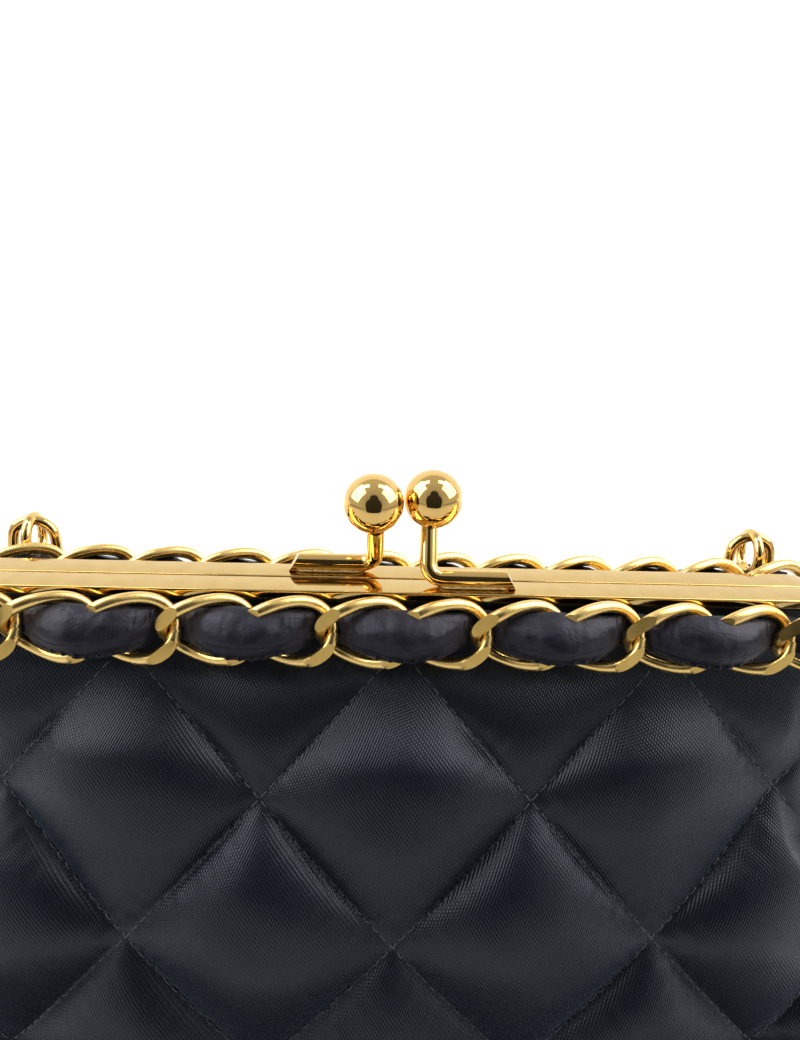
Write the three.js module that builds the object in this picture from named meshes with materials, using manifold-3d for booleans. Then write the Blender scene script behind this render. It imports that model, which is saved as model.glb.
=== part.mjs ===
// Clutch purse with a kiss-lock frame: two hinged gold bars with ball clasps, quilted satin panels,
// a curb chain threaded with leather along the top of each panel, and a short chain handle.
// Units are millimetres. X runs to the right, Y to the back, Z up; Z = 0 is the base it stands on.
import * as THREE from 'three';
import { mergeVertices } from 'three/addons/utils/BufferGeometryUtils.js';
import Module from 'manifold-3d';

const wasm = await Module();
wasm.setup();

// ---- Driving dimensions ----
const GAP = 0.3; // air between neighbouring pieces
const FRAME_TOP = 112; // top face of the closed frame
const FRAME_HALF = 76; // half of the frame's outer width
const FRAME_CORNER = 9; // outer corner radius of the frame
const BAR_DEPTH = 5.2; // one frame half, front to back
const BAR_THICK = 1.5; // the plate that shows on top and down the arms
const FLANGE_DROP = 9; // the inner flange that the fabric is fixed to
const FLANGE_THICK = 1.0;

const HINGE_Z = FRAME_TOP - 39;
const EAR_RADIUS = 4.6;
const EAR_THICK = 1.2;
const EAR_GAP = 0.4; // between the front and rear ears
const PIN_RADIUS = 1.45;
const PIN_HOLE = 1.6;
const PIN_HEAD = 2.5;
const PIN_HEAD_THICK = 0.9;

const BALL_RADIUS = 4.65;
const BALL_SPREAD = 9.55; // centre to centre across the bag, so that the balls pass each other
const BALL_LEAN = 1.4; // how far each ball leans past the middle
const BALL_RISE = 13.5; // ball centre above the frame
const STEM_SPREAD = 8.6; // the stems stand a little closer together than the balls
const STEM_RADIUS = 1.42;
const STEM_FOOT = 13.4; // length of the foot that lies on the bar

const LINK_COUNT = 12; // on each side
const LINK_HALF_LENGTH = 7.1; // centre line of the wire
const LINK_HALF_HEIGHT = 5.07;
const LINK_WIRE = 0.93;
const LINK_TWIST = 1.6;
const LINK_LEAN = 0.1; // how far each end leans out of the chain's middle plane
const CHAIN_Y = 8.7; // chain's middle plane from the bag's middle
// Each chain's pitch, the place of its middle joint, and its height: both are sewn on by hand.
const CHAINS = {
  front: { facing: -1, pitch: 12.17, shift: 0.5, z: FRAME_TOP - 5.4 },
  rear: { facing: 1, pitch: 11.98, shift: 1.3, z: FRAME_TOP - 5 },
};

const WEAVE_HEIGHT = 5.6; // leather strip threaded through the links
const WEAVE_THICK = 1.2;
const WEAVE_SWING = 3.6; // how far it swings before and behind the chain
const WEAVE_REACH = 69;

const PANEL_THICK = 2.6; // satin, wadding and backing
const LINING_THICK = 0.8;
const BASE_THICK = 3;
const BOARD_THICK = 1.5;
const PANEL_TOP = FRAME_TOP - BAR_THICK - GAP;

const HANDLE_X = 65.4; // handle's ends from the middle
const BRACKET_ROD = { y: 15.5, z: FRAME_TOP + 2.8 };
const BRACKET_HALF = 3.9;
const BRACKET_WIRE = 0.95;
const RING_RADIUS = 3.6;
const RING_WIRE = 0.9;
const STRAP_DIAMETER = 5.6;

// The body's section at a few heights: half depth in the middle, half depth at the sides, half width.
const BODY = [
  { z: 0, middle: 22.5, side: 15, half: 82 },
  { z: 12, middle: 25, side: 16.5, half: 84.5 },
  { z: 35, middle: 26, side: 15.5, half: 85 },
  { z: 54, middle: 24.2, side: 12.2, half: 81.8 },
  { z: 63, middle: 22.2, side: 10, half: 77 },
  { z: 68.2, middle: 20.7, side: 8.6, half: 72.6 },
  { z: 75, middle: 18.5, side: 7, half: 72.6 },
  { z: 84, middle: 15.2, side: 5.4, half: 72.6 },
  { z: 92, middle: 11.6, side: 4.9, half: 72.6 },
  { z: 98, middle: 8.8, side: 4.6, half: 72.6 },
  { z: 100.5, middle: 5.4, side: 4.4, half: 72.6 },
  { z: 103.2, middle: 4.1, side: 4.1, half: 72.6 },
  { z: 107.5, middle: 4.1, side: 4.1, half: 72 },
  { z: PANEL_TOP, middle: 4.1, side: 4.1, half: 67.5 },
];

// ---- Materials ----
const gold = new THREE.MeshStandardMaterial({ color: 0xe8c878, roughness: 0.18, metalness: 1 });
const satin = new THREE.MeshStandardMaterial({ color: 0x14161b, roughness: 0.5, metalness: 0 });
const leather = new THREE.MeshStandardMaterial({ color: 0x1b1b20, roughness: 0.6, metalness: 0 });
const lining = new THREE.MeshStandardMaterial({ color: 0x2a2328, roughness: 0.7, metalness: 0 });
const board = new THREE.MeshStandardMaterial({ color: 0x6b5a48, roughness: 0.9, metalness: 0 });

// ---- Helpers ----
const purse = new THREE.Group();

function add(name, geometry, material) {
  const mesh = new THREE.Mesh(geometry, material);
  mesh.name = name;
  purse.add(mesh);
  return mesh;
}

function toSolid(geometry) {
  const bare = geometry.clone();
  bare.deleteAttribute('normal');
  bare.deleteAttribute('uv');
  const merged = mergeVertices(bare, 1e-4);
  const index = merged.index.array;
  return new wasm.Manifold(new wasm.Mesh({
    numProp: 3,
    vertProperties: new Float32Array(merged.attributes.position.array),
    triVerts: new Uint32Array(index),
  }));
}

function toGeometry(solid) {
  const mesh = solid.getMesh();
  const geometry = new THREE.BufferGeometry();
  geometry.setAttribute('position', new THREE.BufferAttribute(new Float32Array(mesh.vertProperties), 3));
  geometry.setIndex(new THREE.BufferAttribute(new Uint32Array(mesh.triVerts), 1));
  geometry.computeVertexNormals();
  return geometry;
}

function join(geometries) {
  return geometries.map(toSolid).reduce((whole, piece) => whole.add(piece));
}

function box(x, y, z) {
  // a box from three [low, high] pairs, in either order
  const spans = [x, y, z].map(([a, b]) => [Math.min(a, b), Math.max(a, b)]);
  const size = spans.map(([low, high]) => high - low);
  const middle = spans.map(([low, high]) => (low + high) / 2);
  return new THREE.BoxGeometry(...size).translate(...middle);
}

function rodAlongX(radius, x0, x1, y, z, sides) {
  const rod = new THREE.CylinderGeometry(radius, radius, Math.abs(x1 - x0), sides);
  return rod.rotateZ(Math.PI / 2).translate((x0 + x1) / 2, y, z);
}

function plateInXZ(shape, y0, y1) {
  const depth = Math.abs(y1 - y0);
  const plate = new THREE.ExtrudeGeometry(shape, { depth, bevelEnabled: false, curveSegments: 3 });
  return plate.rotateX(Math.PI / 2).translate(0, Math.max(y0, y1), 0);
}

function wire(points, radius, sides, steps) {
  const ring = new THREE.Shape();
  ring.absarc(0, 0, radius, 0, 2 * Math.PI, false);
  const extrudePath = new THREE.CatmullRomCurve3(points.map((p) => new THREE.Vector3(...p)), false, 'centripetal');
  return new THREE.ExtrudeGeometry(ring, { extrudePath, steps, curveSegments: sides / 2, bevelEnabled: false });
}

function bodyAt(z) {
  const above = BODY.findIndex((row) => row.z >= z);
  if (above < 1) return BODY[above === 0 ? 0 : BODY.length - 1];
  const [low, high] = [BODY[above - 1], BODY[above]];
  const t = (z - low.z) / (high.z - low.z);
  const mix = (key) => THREE.MathUtils.lerp(low[key], high[key], t);
  return { middle: mix('middle'), side: mix('side'), half: mix('half') };
}

function depthAt(across, z) {
  // half depth of the body where across runs from -1 at one side to 1 at the other
  const row = bodyAt(z);
  return row.side + (row.middle - row.side) * (1 - across * across);
}

function heights(bottom, top) {
  // the heights where the body's section changes, between two ends
  return [bottom, ...BODY.map((row) => row.z).filter((z) => z > bottom + 1 && z < top - 1), top];
}

function wall({ facing, bottom, top, outer, inner, reach = 1, columns = 10 }) {
  // a slab that follows the body's face between two insets from it; facing is -1 front, 1 rear
  const rows = heights(bottom, top);
  const slab = new THREE.BoxGeometry(2, 1, 1, columns, 1, rows.length - 1);
  const position = slab.attributes.position;
  for (let i = 0; i < position.count; i += 1) {
    const across = position.getX(i) * reach;
    const z = rows[Math.round((position.getZ(i) + 0.5) * (rows.length - 1))];
    const outside = position.getY(i) * facing > 0;
    const depth = depthAt(across, z) - (outside ? outer : inner);
    position.setXYZ(i, across * bodyAt(z).half, facing * depth, z);
  }
  return slab;
}

// ---- The frame ----
function arch(width, foot) {
  // an upside-down U, in X and Z, of one width
  const shape = new THREE.Shape();
  const shoulder = FRAME_TOP - FRAME_CORNER;
  const inside = FRAME_HALF - width;
  const innerCorner = Math.max(FRAME_CORNER - width, 1);
  const innerShoulder = FRAME_TOP - width - innerCorner;
  shape.moveTo(-FRAME_HALF, foot);
  shape.lineTo(-FRAME_HALF, shoulder);
  shape.absarc(-FRAME_HALF + FRAME_CORNER, shoulder, FRAME_CORNER, Math.PI, Math.PI / 2, true);
  shape.lineTo(FRAME_HALF - FRAME_CORNER, FRAME_TOP);
  shape.absarc(FRAME_HALF - FRAME_CORNER, shoulder, FRAME_CORNER, Math.PI / 2, 0, true);
  shape.lineTo(FRAME_HALF, foot);
  shape.lineTo(inside, foot);
  shape.absarc(inside - innerCorner, innerShoulder, innerCorner, 0, Math.PI / 2, false);
  shape.absarc(-inside + innerCorner, innerShoulder, innerCorner, Math.PI / 2, Math.PI, false);
  shape.lineTo(-inside, foot);
  shape.closePath();
  return shape;
}

function frameHalf(facing) {
  const near = facing * GAP / 2;
  const far = facing * (GAP / 2 + BAR_DEPTH);
  const earTop = HINGE_Z + EAR_RADIUS + 0.7;
  const earOut = facing > 0 ? FRAME_HALF : FRAME_HALF - EAR_THICK - EAR_GAP;
  const pieces = [
    plateInXZ(arch(BAR_THICK, earTop), near, far),
    plateInXZ(arch(FLANGE_DROP, earTop + 2), near, near + facing * FLANGE_THICK),
  ];
  for (const side of [-1, 1]) {
    const earX = [side * earOut, side * (earOut - EAR_THICK)];
    pieces.push(rodAlongX(EAR_RADIUS, ...earX, 0, HINGE_Z, 24));
    pieces.push(box(earX, [near, facing * EAR_RADIUS], [HINGE_Z, earTop + 0.5]));
    pieces.push(box([side * FRAME_HALF, side * (earOut - EAR_THICK)], [near, far], [earTop, earTop + 3]));
  }
  const hole = toSolid(rodAlongX(PIN_HOLE, -FRAME_HALF - 1, FRAME_HALF + 1, 0, HINGE_Z, 16));
  return toGeometry(join(pieces).subtract(hole));
}

function hingePin(side) {
  const inner = FRAME_HALF - 2 * EAR_THICK - EAR_GAP - GAP;
  const outer = FRAME_HALF + GAP;
  const profile = [
    [0, inner - PIN_HEAD_THICK], [PIN_HEAD, inner - PIN_HEAD_THICK], [PIN_HEAD, inner], [PIN_RADIUS, inner],
    [PIN_RADIUS, outer], [PIN_HEAD, outer], [PIN_HEAD, outer + PIN_HEAD_THICK], [0, outer + PIN_HEAD_THICK],
  ].map(([r, x]) => new THREE.Vector2(r, x));
  const pin = new THREE.LatheGeometry(profile, 12);
  return pin.rotateZ(-side * Math.PI / 2).translate(0, 0, HINGE_Z);
}

// ---- The clasp ----
function claspStem(facing) {
  // facing 1 is the rear stem: it stands to the left and leans forward; the front one is its opposite
  const x = (-facing * STEM_SPREAD) / 2;
  const barY = facing * (GAP / 2 + BAR_DEPTH / 2);
  const ballY = -facing * BALL_LEAN;
  const lie = STEM_RADIUS + GAP;
  const neck = BALL_RISE - BALL_RADIUS - 0.7; // its end slopes, so it stops a little lower
  const leanTo = (share) => barY + (ballY - barY) * share;
  const points = [
    [x - facing * STEM_FOOT, barY, lie], [x - facing * 5.5, barY, lie], [x - facing * 2.6, barY, lie + 0.1],
    [x - facing * 0.8, leanTo(0.12), lie + 0.9], [x, leanTo(0.35), lie + 2.7], [x, leanTo(0.85), neck - 1],
    [x, ballY, neck],
  ].map(([px, py, pz]) => [px, py, FRAME_TOP + pz]);
  return wire(points, STEM_RADIUS, 8, 14);
}

function claspBall(facing) {
  const ball = new THREE.SphereGeometry(BALL_RADIUS, 18, 10).rotateX(Math.PI / 2);
  return ball.translate(-facing * BALL_SPREAD / 2, -facing * BALL_LEAN, FRAME_TOP + BALL_RISE);
}

// ---- The chain trim ----
function chainLink() {
  // an oval of round wire, twisted so that each link lies flat through its neighbours
  const link = new THREE.TorusGeometry(1, 1, 6, 16);
  const position = link.attributes.position;
  const turn = link.attributes.uv;
  for (let i = 0; i < position.count; i += 1) {
    const along = turn.getX(i) * 2 * Math.PI;
    const around = turn.getY(i) * 2 * Math.PI;
    const out = new THREE.Vector2(LINK_HALF_HEIGHT * Math.cos(along), LINK_HALF_LENGTH * Math.sin(along));
    out.normalize().multiplyScalar(LINK_WIRE * Math.cos(around));
    const middle = -LINK_TWIST * Math.sin(2 * along) - LINK_LEAN * Math.cos(along);
    const lift = middle + LINK_WIRE * Math.sin(around);
    position.setXYZ(
      i,
      LINK_HALF_LENGTH * Math.cos(along) + out.x,
      LINK_HALF_HEIGHT * Math.sin(along) + out.y,
      lift,
    );
  }
  return link.rotateX(Math.PI / 2);
}

function leatherWeave(pitch) {
  // a strip on edge that swings before and behind the chain, once in every two links
  const steps = 5 * LINK_COUNT;
  const shape = new THREE.Shape();
  const centre = (x) => WEAVE_SWING * Math.cos((Math.PI * x) / pitch);
  const slope = (x) => (-WEAVE_SWING * Math.PI / pitch) * Math.sin((Math.PI * x) / pitch);
  for (const edge of [-1, 1]) {
    for (let i = 0; i <= steps; i += 1) {
      const x = edge * WEAVE_REACH * (1 - (2 * i) / steps);
      const tilt = Math.hypot(1, slope(x));
      const half = (edge * WEAVE_THICK) / 2;
      const point = [x - (half * slope(x)) / tilt, centre(x) + half / tilt];
      if (edge < 0 && i === 0) shape.moveTo(...point);
      else shape.lineTo(...point);
    }
  }
  shape.closePath();
  const strip = new THREE.ExtrudeGeometry(shape, { depth: WEAVE_HEIGHT, bevelEnabled: false });
  return strip.translate(0, 0, -WEAVE_HEIGHT / 2);
}

function addChain(name) {
  const { facing, pitch, shift, z } = CHAINS[name];
  const turn = facing > 0 ? Math.PI : 0;
  for (let i = 0; i < LINK_COUNT; i += 1) {
    const number = String(i + 1).padStart(2, '0');
    const link = add(`chain_link_${name}_${number}`, chainLink(), gold);
    link.position.set(shift + pitch * (i - (LINK_COUNT - 1) / 2), facing * CHAIN_Y, z);
    link.rotation.z = turn;
  }
  const strip = add(`leather_weave_${name}`, leatherWeave(pitch), leather);
  strip.position.set(shift, facing * CHAIN_Y, z);
  strip.rotation.z = Math.PI - turn;
}

// ---- The body ----
function gusset(side) {
  const thick = 2.2;
  const rows = heights(BASE_THICK + GAP, HINGE_Z - EAR_RADIUS - 0.8);
  const slab = new THREE.BoxGeometry(1, 1, 1, 1, 4, rows.length - 1);
  const position = slab.attributes.position;
  for (let i = 0; i < position.count; i += 1) {
    const z = rows[Math.round((position.getZ(i) + 0.5) * (rows.length - 1))];
    const row = bodyAt(z);
    const half = row.side - PANEL_THICK - GAP;
    const outward = position.getX(i) * side > 0 ? 0 : thick;
    position.setXYZ(i, side * (row.half - GAP - outward), 2 * position.getY(i) * half, z);
  }
  return slab;
}

function floorPlate(z, thick, inset) {
  // a plate with the body's outline
  const shape = new THREE.Shape();
  const steps = 12;
  const half = bodyAt(z).half - inset;
  for (const facing of [-1, 1]) {
    for (let i = 0; i <= steps; i += 1) {
      const across = facing * ((2 * i) / steps - 1);
      const point = [across * half, facing * (depthAt(across, z) - inset)];
      if (facing < 0 && i === 0) shape.moveTo(...point);
      else shape.lineTo(...point);
    }
  }
  shape.closePath();
  return new THREE.ExtrudeGeometry(shape, { depth: thick, bevelEnabled: false }).translate(0, 0, z);
}

// ---- The handle ----
function handleBracket(side) {
  // a round-topped wire loop behind the rear chain, on a small plate that lies against the rear panel
  const x = side * HANDLE_X;
  const plateAt = { y: 7.6, z: 88.5 };
  const turn = 0.2; // the panel falls away towards the side
  const lean = 0.17; // and towards the top
  const leg = (dx) => {
    const foot = plateAt.y - turn * side * dx;
    return [[foot, 89], [foot + 0.8, 93.5], [12.2, 98.6], [14.4, 103], [15, 107]].map(([y, z]) => [x + dx, y, z]);
  };
  const { y, z } = BRACKET_ROD;
  const over = [150, 120, 90, 60, 30].map((degrees) => {
    const angle = THREE.MathUtils.degToRad(degrees);
    return [x + BRACKET_HALF * Math.cos(angle), y, z + BRACKET_HALF * (Math.sin(angle) - 1)];
  });
  const loop = wire([...leg(-BRACKET_HALF), ...over, ...leg(BRACKET_HALF).reverse()], BRACKET_WIRE, 6, 28);
  const plate = new THREE.BoxGeometry(2 * BRACKET_HALF + 4, 1.2, 8).rotateX(lean).rotateZ(-side * turn);
  plate.translate(x, plateAt.y, plateAt.z);
  return toGeometry(join([loop, plate]));
}

function handleRing(side) {
  const ring = new THREE.TorusGeometry(RING_RADIUS, RING_WIRE, 6, 18).rotateY(Math.PI / 2);
  const drop = BRACKET_WIRE + RING_WIRE + GAP - RING_RADIUS;
  return ring.translate(side * HANDLE_X, BRACKET_ROD.y, BRACKET_ROD.z + drop);
}

// The route of the right half of the strap, from its ring down to the middle of the bag's back.
const STRAP_ROUTE = [
  [65.4, 15.6, 108.2], [65.3, 16.2, 104], [64.7, 17.2, 97], [63.2, 18.3, 89], [61, 19.8, 80.5], [58, 21.7, 71],
  [54.2, 24, 61], [48.6, 26.5, 50.5], [41.8, 28.1, 40], [33.4, 29.2, 30.2], [23.6, 29.6, 21.2], [12.5, 29.3, 15],
  [0, 29, 12.8],
];

function handleStrap() {
  const mirrored = STRAP_ROUTE.slice(0, -1).map(([x, y, z]) => [-x, y, z]);
  return wire([...mirrored, ...STRAP_ROUTE.toReversed()], STRAP_DIAMETER / 2, 8, 26);
}

// ---- Assembly ----
const lowerTop = HINGE_Z - 0.5 - GAP;
const panel = { outer: 0, inner: PANEL_THICK };
const liner = { outer: PANEL_THICK + 2 * GAP, inner: PANEL_THICK + 2 * GAP + LINING_THICK };
const linerBottom = BASE_THICK + BOARD_THICK + 2 * GAP;

add('frame_rear', frameHalf(1), gold);
add('frame_front', frameHalf(-1), gold);
add('hinge_pin_left', hingePin(-1), gold);
add('hinge_pin_right', hingePin(1), gold);
add('clasp_stem_rear', claspStem(1), gold);
add('clasp_stem_front', claspStem(-1), gold);
add('clasp_ball_rear', claspBall(1), gold);
add('clasp_ball_front', claspBall(-1), gold);

add('rear_panel', wall({ facing: 1, bottom: BASE_THICK + GAP, top: PANEL_TOP, ...panel }), satin);
add('front_panel', wall({ facing: -1, bottom: BASE_THICK + GAP, top: lowerTop, ...panel }), satin);
add('front_yoke', wall({ facing: -1, bottom: lowerTop + GAP, top: PANEL_TOP, ...panel }), satin);
add('gusset_left', gusset(-1), satin);
add('gusset_right', gusset(1), satin);
add('base_panel', floorPlate(0, BASE_THICK, 0), satin);
add('base_board', floorPlate(BASE_THICK + GAP, BOARD_THICK, PANEL_THICK + 2 * GAP), board);
add('lining_rear', wall({ facing: 1, bottom: linerBottom, top: HINGE_Z + 18, reach: 0.92, ...liner }), lining);
add('lining_front', wall({ facing: -1, bottom: linerBottom, top: lowerTop, reach: 0.92, ...liner }), lining);
const pocket = { outer: liner.inner + 2 * GAP, inner: liner.inner + 2 * GAP + LINING_THICK };
add('inner_pocket', wall({ facing: 1, bottom: 24, top: 60, reach: 0.5, columns: 6, ...pocket }), lining);

addChain('front');
addChain('rear');

add('handle_bracket_left', handleBracket(-1), gold);
add('handle_bracket_right', handleBracket(1), gold);
add('handle_ring_left', handleRing(-1), gold);
add('handle_ring_right', handleRing(1), gold);
add('handle_strap', handleStrap(), leather);

export default purse;
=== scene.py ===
"""Looks of the clutch purse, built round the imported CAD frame.

Shapes are written in millimetres and turned into metres when a mesh is made.
The front half of the purse opens forwards (towards -Y); the rear half stands still.
"""
import math

import bmesh
import bpy
import numpy as np
from mathutils import Euler, Matrix, Vector, noise


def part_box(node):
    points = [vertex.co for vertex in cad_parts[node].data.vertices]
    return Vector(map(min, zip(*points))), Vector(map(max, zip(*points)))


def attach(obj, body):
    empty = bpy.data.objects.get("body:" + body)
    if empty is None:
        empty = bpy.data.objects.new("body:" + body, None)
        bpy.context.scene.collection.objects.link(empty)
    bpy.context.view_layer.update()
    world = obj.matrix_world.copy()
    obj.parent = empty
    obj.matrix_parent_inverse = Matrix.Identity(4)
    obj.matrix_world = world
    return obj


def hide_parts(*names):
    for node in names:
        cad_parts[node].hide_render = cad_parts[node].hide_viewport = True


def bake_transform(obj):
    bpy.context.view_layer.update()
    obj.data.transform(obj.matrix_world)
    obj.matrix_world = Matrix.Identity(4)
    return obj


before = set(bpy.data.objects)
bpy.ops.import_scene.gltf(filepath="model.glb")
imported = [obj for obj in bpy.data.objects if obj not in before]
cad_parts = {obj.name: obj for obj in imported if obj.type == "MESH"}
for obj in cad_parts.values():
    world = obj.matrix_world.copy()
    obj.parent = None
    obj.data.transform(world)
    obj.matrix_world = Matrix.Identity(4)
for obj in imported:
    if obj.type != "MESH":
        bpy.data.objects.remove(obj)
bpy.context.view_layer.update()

MM = 0.001
SIDES = ((-1, "left"), (1, "right"))
scene = bpy.context.scene


def node_box(name):
    """A CAD node's lowest and highest corners, in millimetres."""
    low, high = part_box(name)
    return np.array(low) / MM, np.array(high) / MM


def node_points(name):
    """A CAD node's points, in millimetres."""
    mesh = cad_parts[name].data
    flat = np.empty(len(mesh.vertices) * 3)
    mesh.vertices.foreach_get("co", flat)
    return flat.reshape(-1, 3) / MM


FRAME_TOP = node_box("frame_rear")[1][2]
FRAME_HALF = node_box("frame_rear")[1][0]
HINGE_Z = node_box("hinge_pin_left")[0][2] / 2 + node_box("hinge_pin_left")[1][2] / 2

# ---------------------------------------------------------------- camera
CAMERA_AT = (-5.44, -119.62, FRAME_TOP + 55.5)
CAMERA_PITCH = math.radians(20.68)
CAMERA_YAW = math.radians(2.37)
CAMERA_ROLL = math.radians(2.20)
FOCAL_LENGTH = 27.69


def make_camera():
    data = bpy.data.cameras.new("camera")
    data.lens = FOCAL_LENGTH
    data.sensor_width = 36
    data.clip_start = 0.002
    camera = bpy.data.objects.new("camera", data)
    scene.collection.objects.link(camera)
    forward = Vector((
        math.sin(CAMERA_YAW) * math.cos(CAMERA_PITCH),
        math.cos(CAMERA_YAW) * math.cos(CAMERA_PITCH),
        -math.sin(CAMERA_PITCH),
    ))
    right = Vector((math.cos(CAMERA_YAW), -math.sin(CAMERA_YAW), 0))
    up = right.cross(forward)
    level = Matrix((right, up, -forward)).transposed()
    turn = level @ Matrix.Rotation(CAMERA_ROLL, 3, "Z")
    camera.matrix_world = Matrix.Translation(Vector(CAMERA_AT) * MM) @ turn.to_4x4()
    scene.camera = camera


make_camera()


# ---------------------------------------------------------------- materials
class Tree:
    """A short way to add nodes and to link them."""

    def __init__(self, owner):
        owner.use_nodes = True
        self.nodes, self.links = owner.node_tree.nodes, owner.node_tree.links

    def add(self, kind, **values):
        """A node; names with a capital set its sockets (with _ for a space), other names its settings."""
        node = self.nodes.new(kind)
        for key, value in values.items():
            if key[0].isupper():
                node.inputs[key.replace("_", " ")].default_value = value
            else:
                setattr(node, key, value)
        return node

    def link(self, source, target):
        self.links.new(source, target)

    def ramp(self, factor, stops):
        """Colours along a factor, from (place, colour) pairs."""
        node = self.add("ShaderNodeValToRGB")
        elements = node.color_ramp.elements
        while len(elements) < len(stops):
            elements.new(0.5)
        for element, (place, colour) in zip(elements, stops):
            element.position = place
            element.color = (*colour, 1)
        self.link(factor, node.inputs["Fac"])
        return node.outputs["Color"]


class Nodes(Tree):
    """One material's nodes. Lengths are in millimetres."""

    def __init__(self, name, base, roughness, metallic=0.0, specular=0.5):
        self.material = bpy.data.materials.new(name)
        super().__init__(self.material)
        self.shader = self.nodes["Principled BSDF"]
        self.shader.inputs["Base Color"].default_value = (*base, 1)
        self.shader.inputs["Roughness"].default_value = roughness
        self.shader.inputs["Metallic"].default_value = metallic
        self.shader.inputs["Specular IOR Level"].default_value = specular

    def coordinates(self, kind="Object", scale=(1, 1, 1), turn=(0, 0, 0)):
        """Coordinates in millimetres, turned and then scaled."""
        unit = 1 / MM if kind == "Object" else 1
        mapping = self.add("ShaderNodeMapping", vector_type="POINT", Rotation=turn, Scale=(unit,) * 3)
        stretch = self.add("ShaderNodeMapping", vector_type="POINT", Scale=scale)
        self.link(self.add("ShaderNodeTexCoord").outputs[kind], mapping.inputs["Vector"])
        self.link(mapping.outputs["Vector"], stretch.inputs["Vector"])
        return stretch.outputs["Vector"]

    def noise(self, vector, scale, detail, roughness=0.5):
        node = self.add("ShaderNodeTexNoise", Scale=scale, Detail=detail, Roughness=roughness)
        self.link(vector, node.inputs["Vector"])
        return node.outputs["Fac"]

    def number(self, factor, low, high):
        """The factor, spread from low to high."""
        node = self.add("ShaderNodeMapRange", To_Min=low, To_Max=high)
        self.link(factor, node.inputs["Value"])
        return node.outputs["Result"]

    def bump(self, height, strength, distance, before=None):
        """A normal for relief this deep, on top of another normal."""
        node = self.add("ShaderNodeBump", Strength=strength, Distance=distance * MM)
        self.link(height, node.inputs["Height"])
        if before is not None:
            self.link(before, node.inputs["Normal"])
        return node.outputs["Normal"]

    def finish(self, colour, roughness=None, normal=None, **constants):
        """Links what varies over the surface, and sets what doesn't."""
        for socket, source in (("Base Color", colour), ("Roughness", roughness), ("Normal", normal)):
            if source is not None:
                self.link(source, self.shader.inputs[socket])
        for socket, value in constants.items():
            self.shader.inputs[socket.replace("_", " ")].default_value = value
        return self.material


def make_gold(name, roughness, grain, tint, worn):
    """Polished gold plate: a little cloudiness, and very fine ripples in the polish."""
    n = Nodes(name, tint, roughness, metallic=1.0)
    place = n.coordinates()
    cloud = n.noise(place, scale=0.35, detail=4)
    colour = n.ramp(cloud, [(0.3, worn), (0.62, tint)])
    rough = n.number(cloud, roughness * 0.7, roughness * 1.5)
    ripple = n.noise(place, scale=grain, detail=2)
    normal = n.bump(ripple, 0.12, 0.05)
    return n.finish(colour, rough, normal)


def make_grained(name, base, roughness, place, grain, tones, relief, gloss=None, metallic=0.0, **constants):
    """A surface whose tone, relief and gloss follow one noise. place and grain are the noise's settings."""
    n = Nodes(name, base, roughness, metallic=metallic)
    lumps = n.noise(n.coordinates(**place), **grain)
    rough = n.number(lumps, *gloss) if gloss else None
    return n.finish(n.ramp(lumps, tones), rough, n.bump(lumps, *relief), **constants)


def make_satin(name):
    """Dark duchess satin: its floats show as fine slanted dashes, and its reflections are soft and cool."""
    n = Nodes(name, (0.010, 0.012, 0.017), 0.36, specular=0.38)
    waves = []
    for degrees, scale, distortion in ((-23, 0.80, 0.5), (38, 0.62, 0.9)):
        wave = n.add(
            "ShaderNodeTexWave", wave_type="BANDS", bands_direction="X",
            Scale=scale, Distortion=distortion, Detail=1.0, Detail_Scale=2.2,
        )
        n.link(n.coordinates("UV", turn=(0, 0, math.radians(degrees))), wave.inputs["Vector"])
        waves.append(wave.outputs["Fac"])
    both = n.add("ShaderNodeMix", data_type="FLOAT")
    both.inputs[0].default_value = 0.42
    n.link(waves[0], both.inputs[2])
    n.link(waves[1], both.inputs[3])
    dashes = both.outputs[0]
    slubs = n.noise(n.coordinates("UV", scale=(0.25, 0.9, 1)), 1.0, 3.0)
    colour = n.ramp(dashes, [(0.30, (0.0003, 0.0009, 0.0024)), (0.75, (0.0075, 0.0098, 0.0155))])
    normal = n.bump(slubs, 0.2, 0.08)
    normal = n.bump(dashes, 0.62, 0.10, normal)
    rough = n.number(dashes, 0.33, 0.24)
    return n.finish(
        colour, rough, normal, Sheen_Weight=0.08, Sheen_Roughness=0.40,
        Sheen_Tint=(0.55, 0.70, 1.0, 1), Specular_Tint=(0.80, 0.89, 1.0, 1),
    )


def make_leather(name):
    """Soft lambskin: worn glossier in patches, with pores and creases."""
    n = Nodes(name, (0.012, 0.012, 0.018), 0.42, specular=0.30)
    place = n.coordinates("UV")
    pores = n.add("ShaderNodeTexVoronoi", feature="DISTANCE_TO_EDGE", Scale=2.6)
    n.link(place, pores.inputs["Vector"])
    cells = n.number(pores.outputs["Distance"], 0.0, 1.0)
    wear = n.noise(place, scale=0.6, detail=5, roughness=0.55)
    colour = n.ramp(wear, [(0.35, (0.0034, 0.0033, 0.0064)), (0.7, (0.0115, 0.0108, 0.0178))])
    normal = n.bump(wear, 0.6, 0.34)
    normal = n.bump(cells, 0.35, 0.10, normal)
    return n.finish(
        colour, n.number(wear, 0.32, 0.50), normal, Sheen_Weight=0.03, Specular_Tint=(0.88, 0.86, 1.0, 1),
    )


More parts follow.
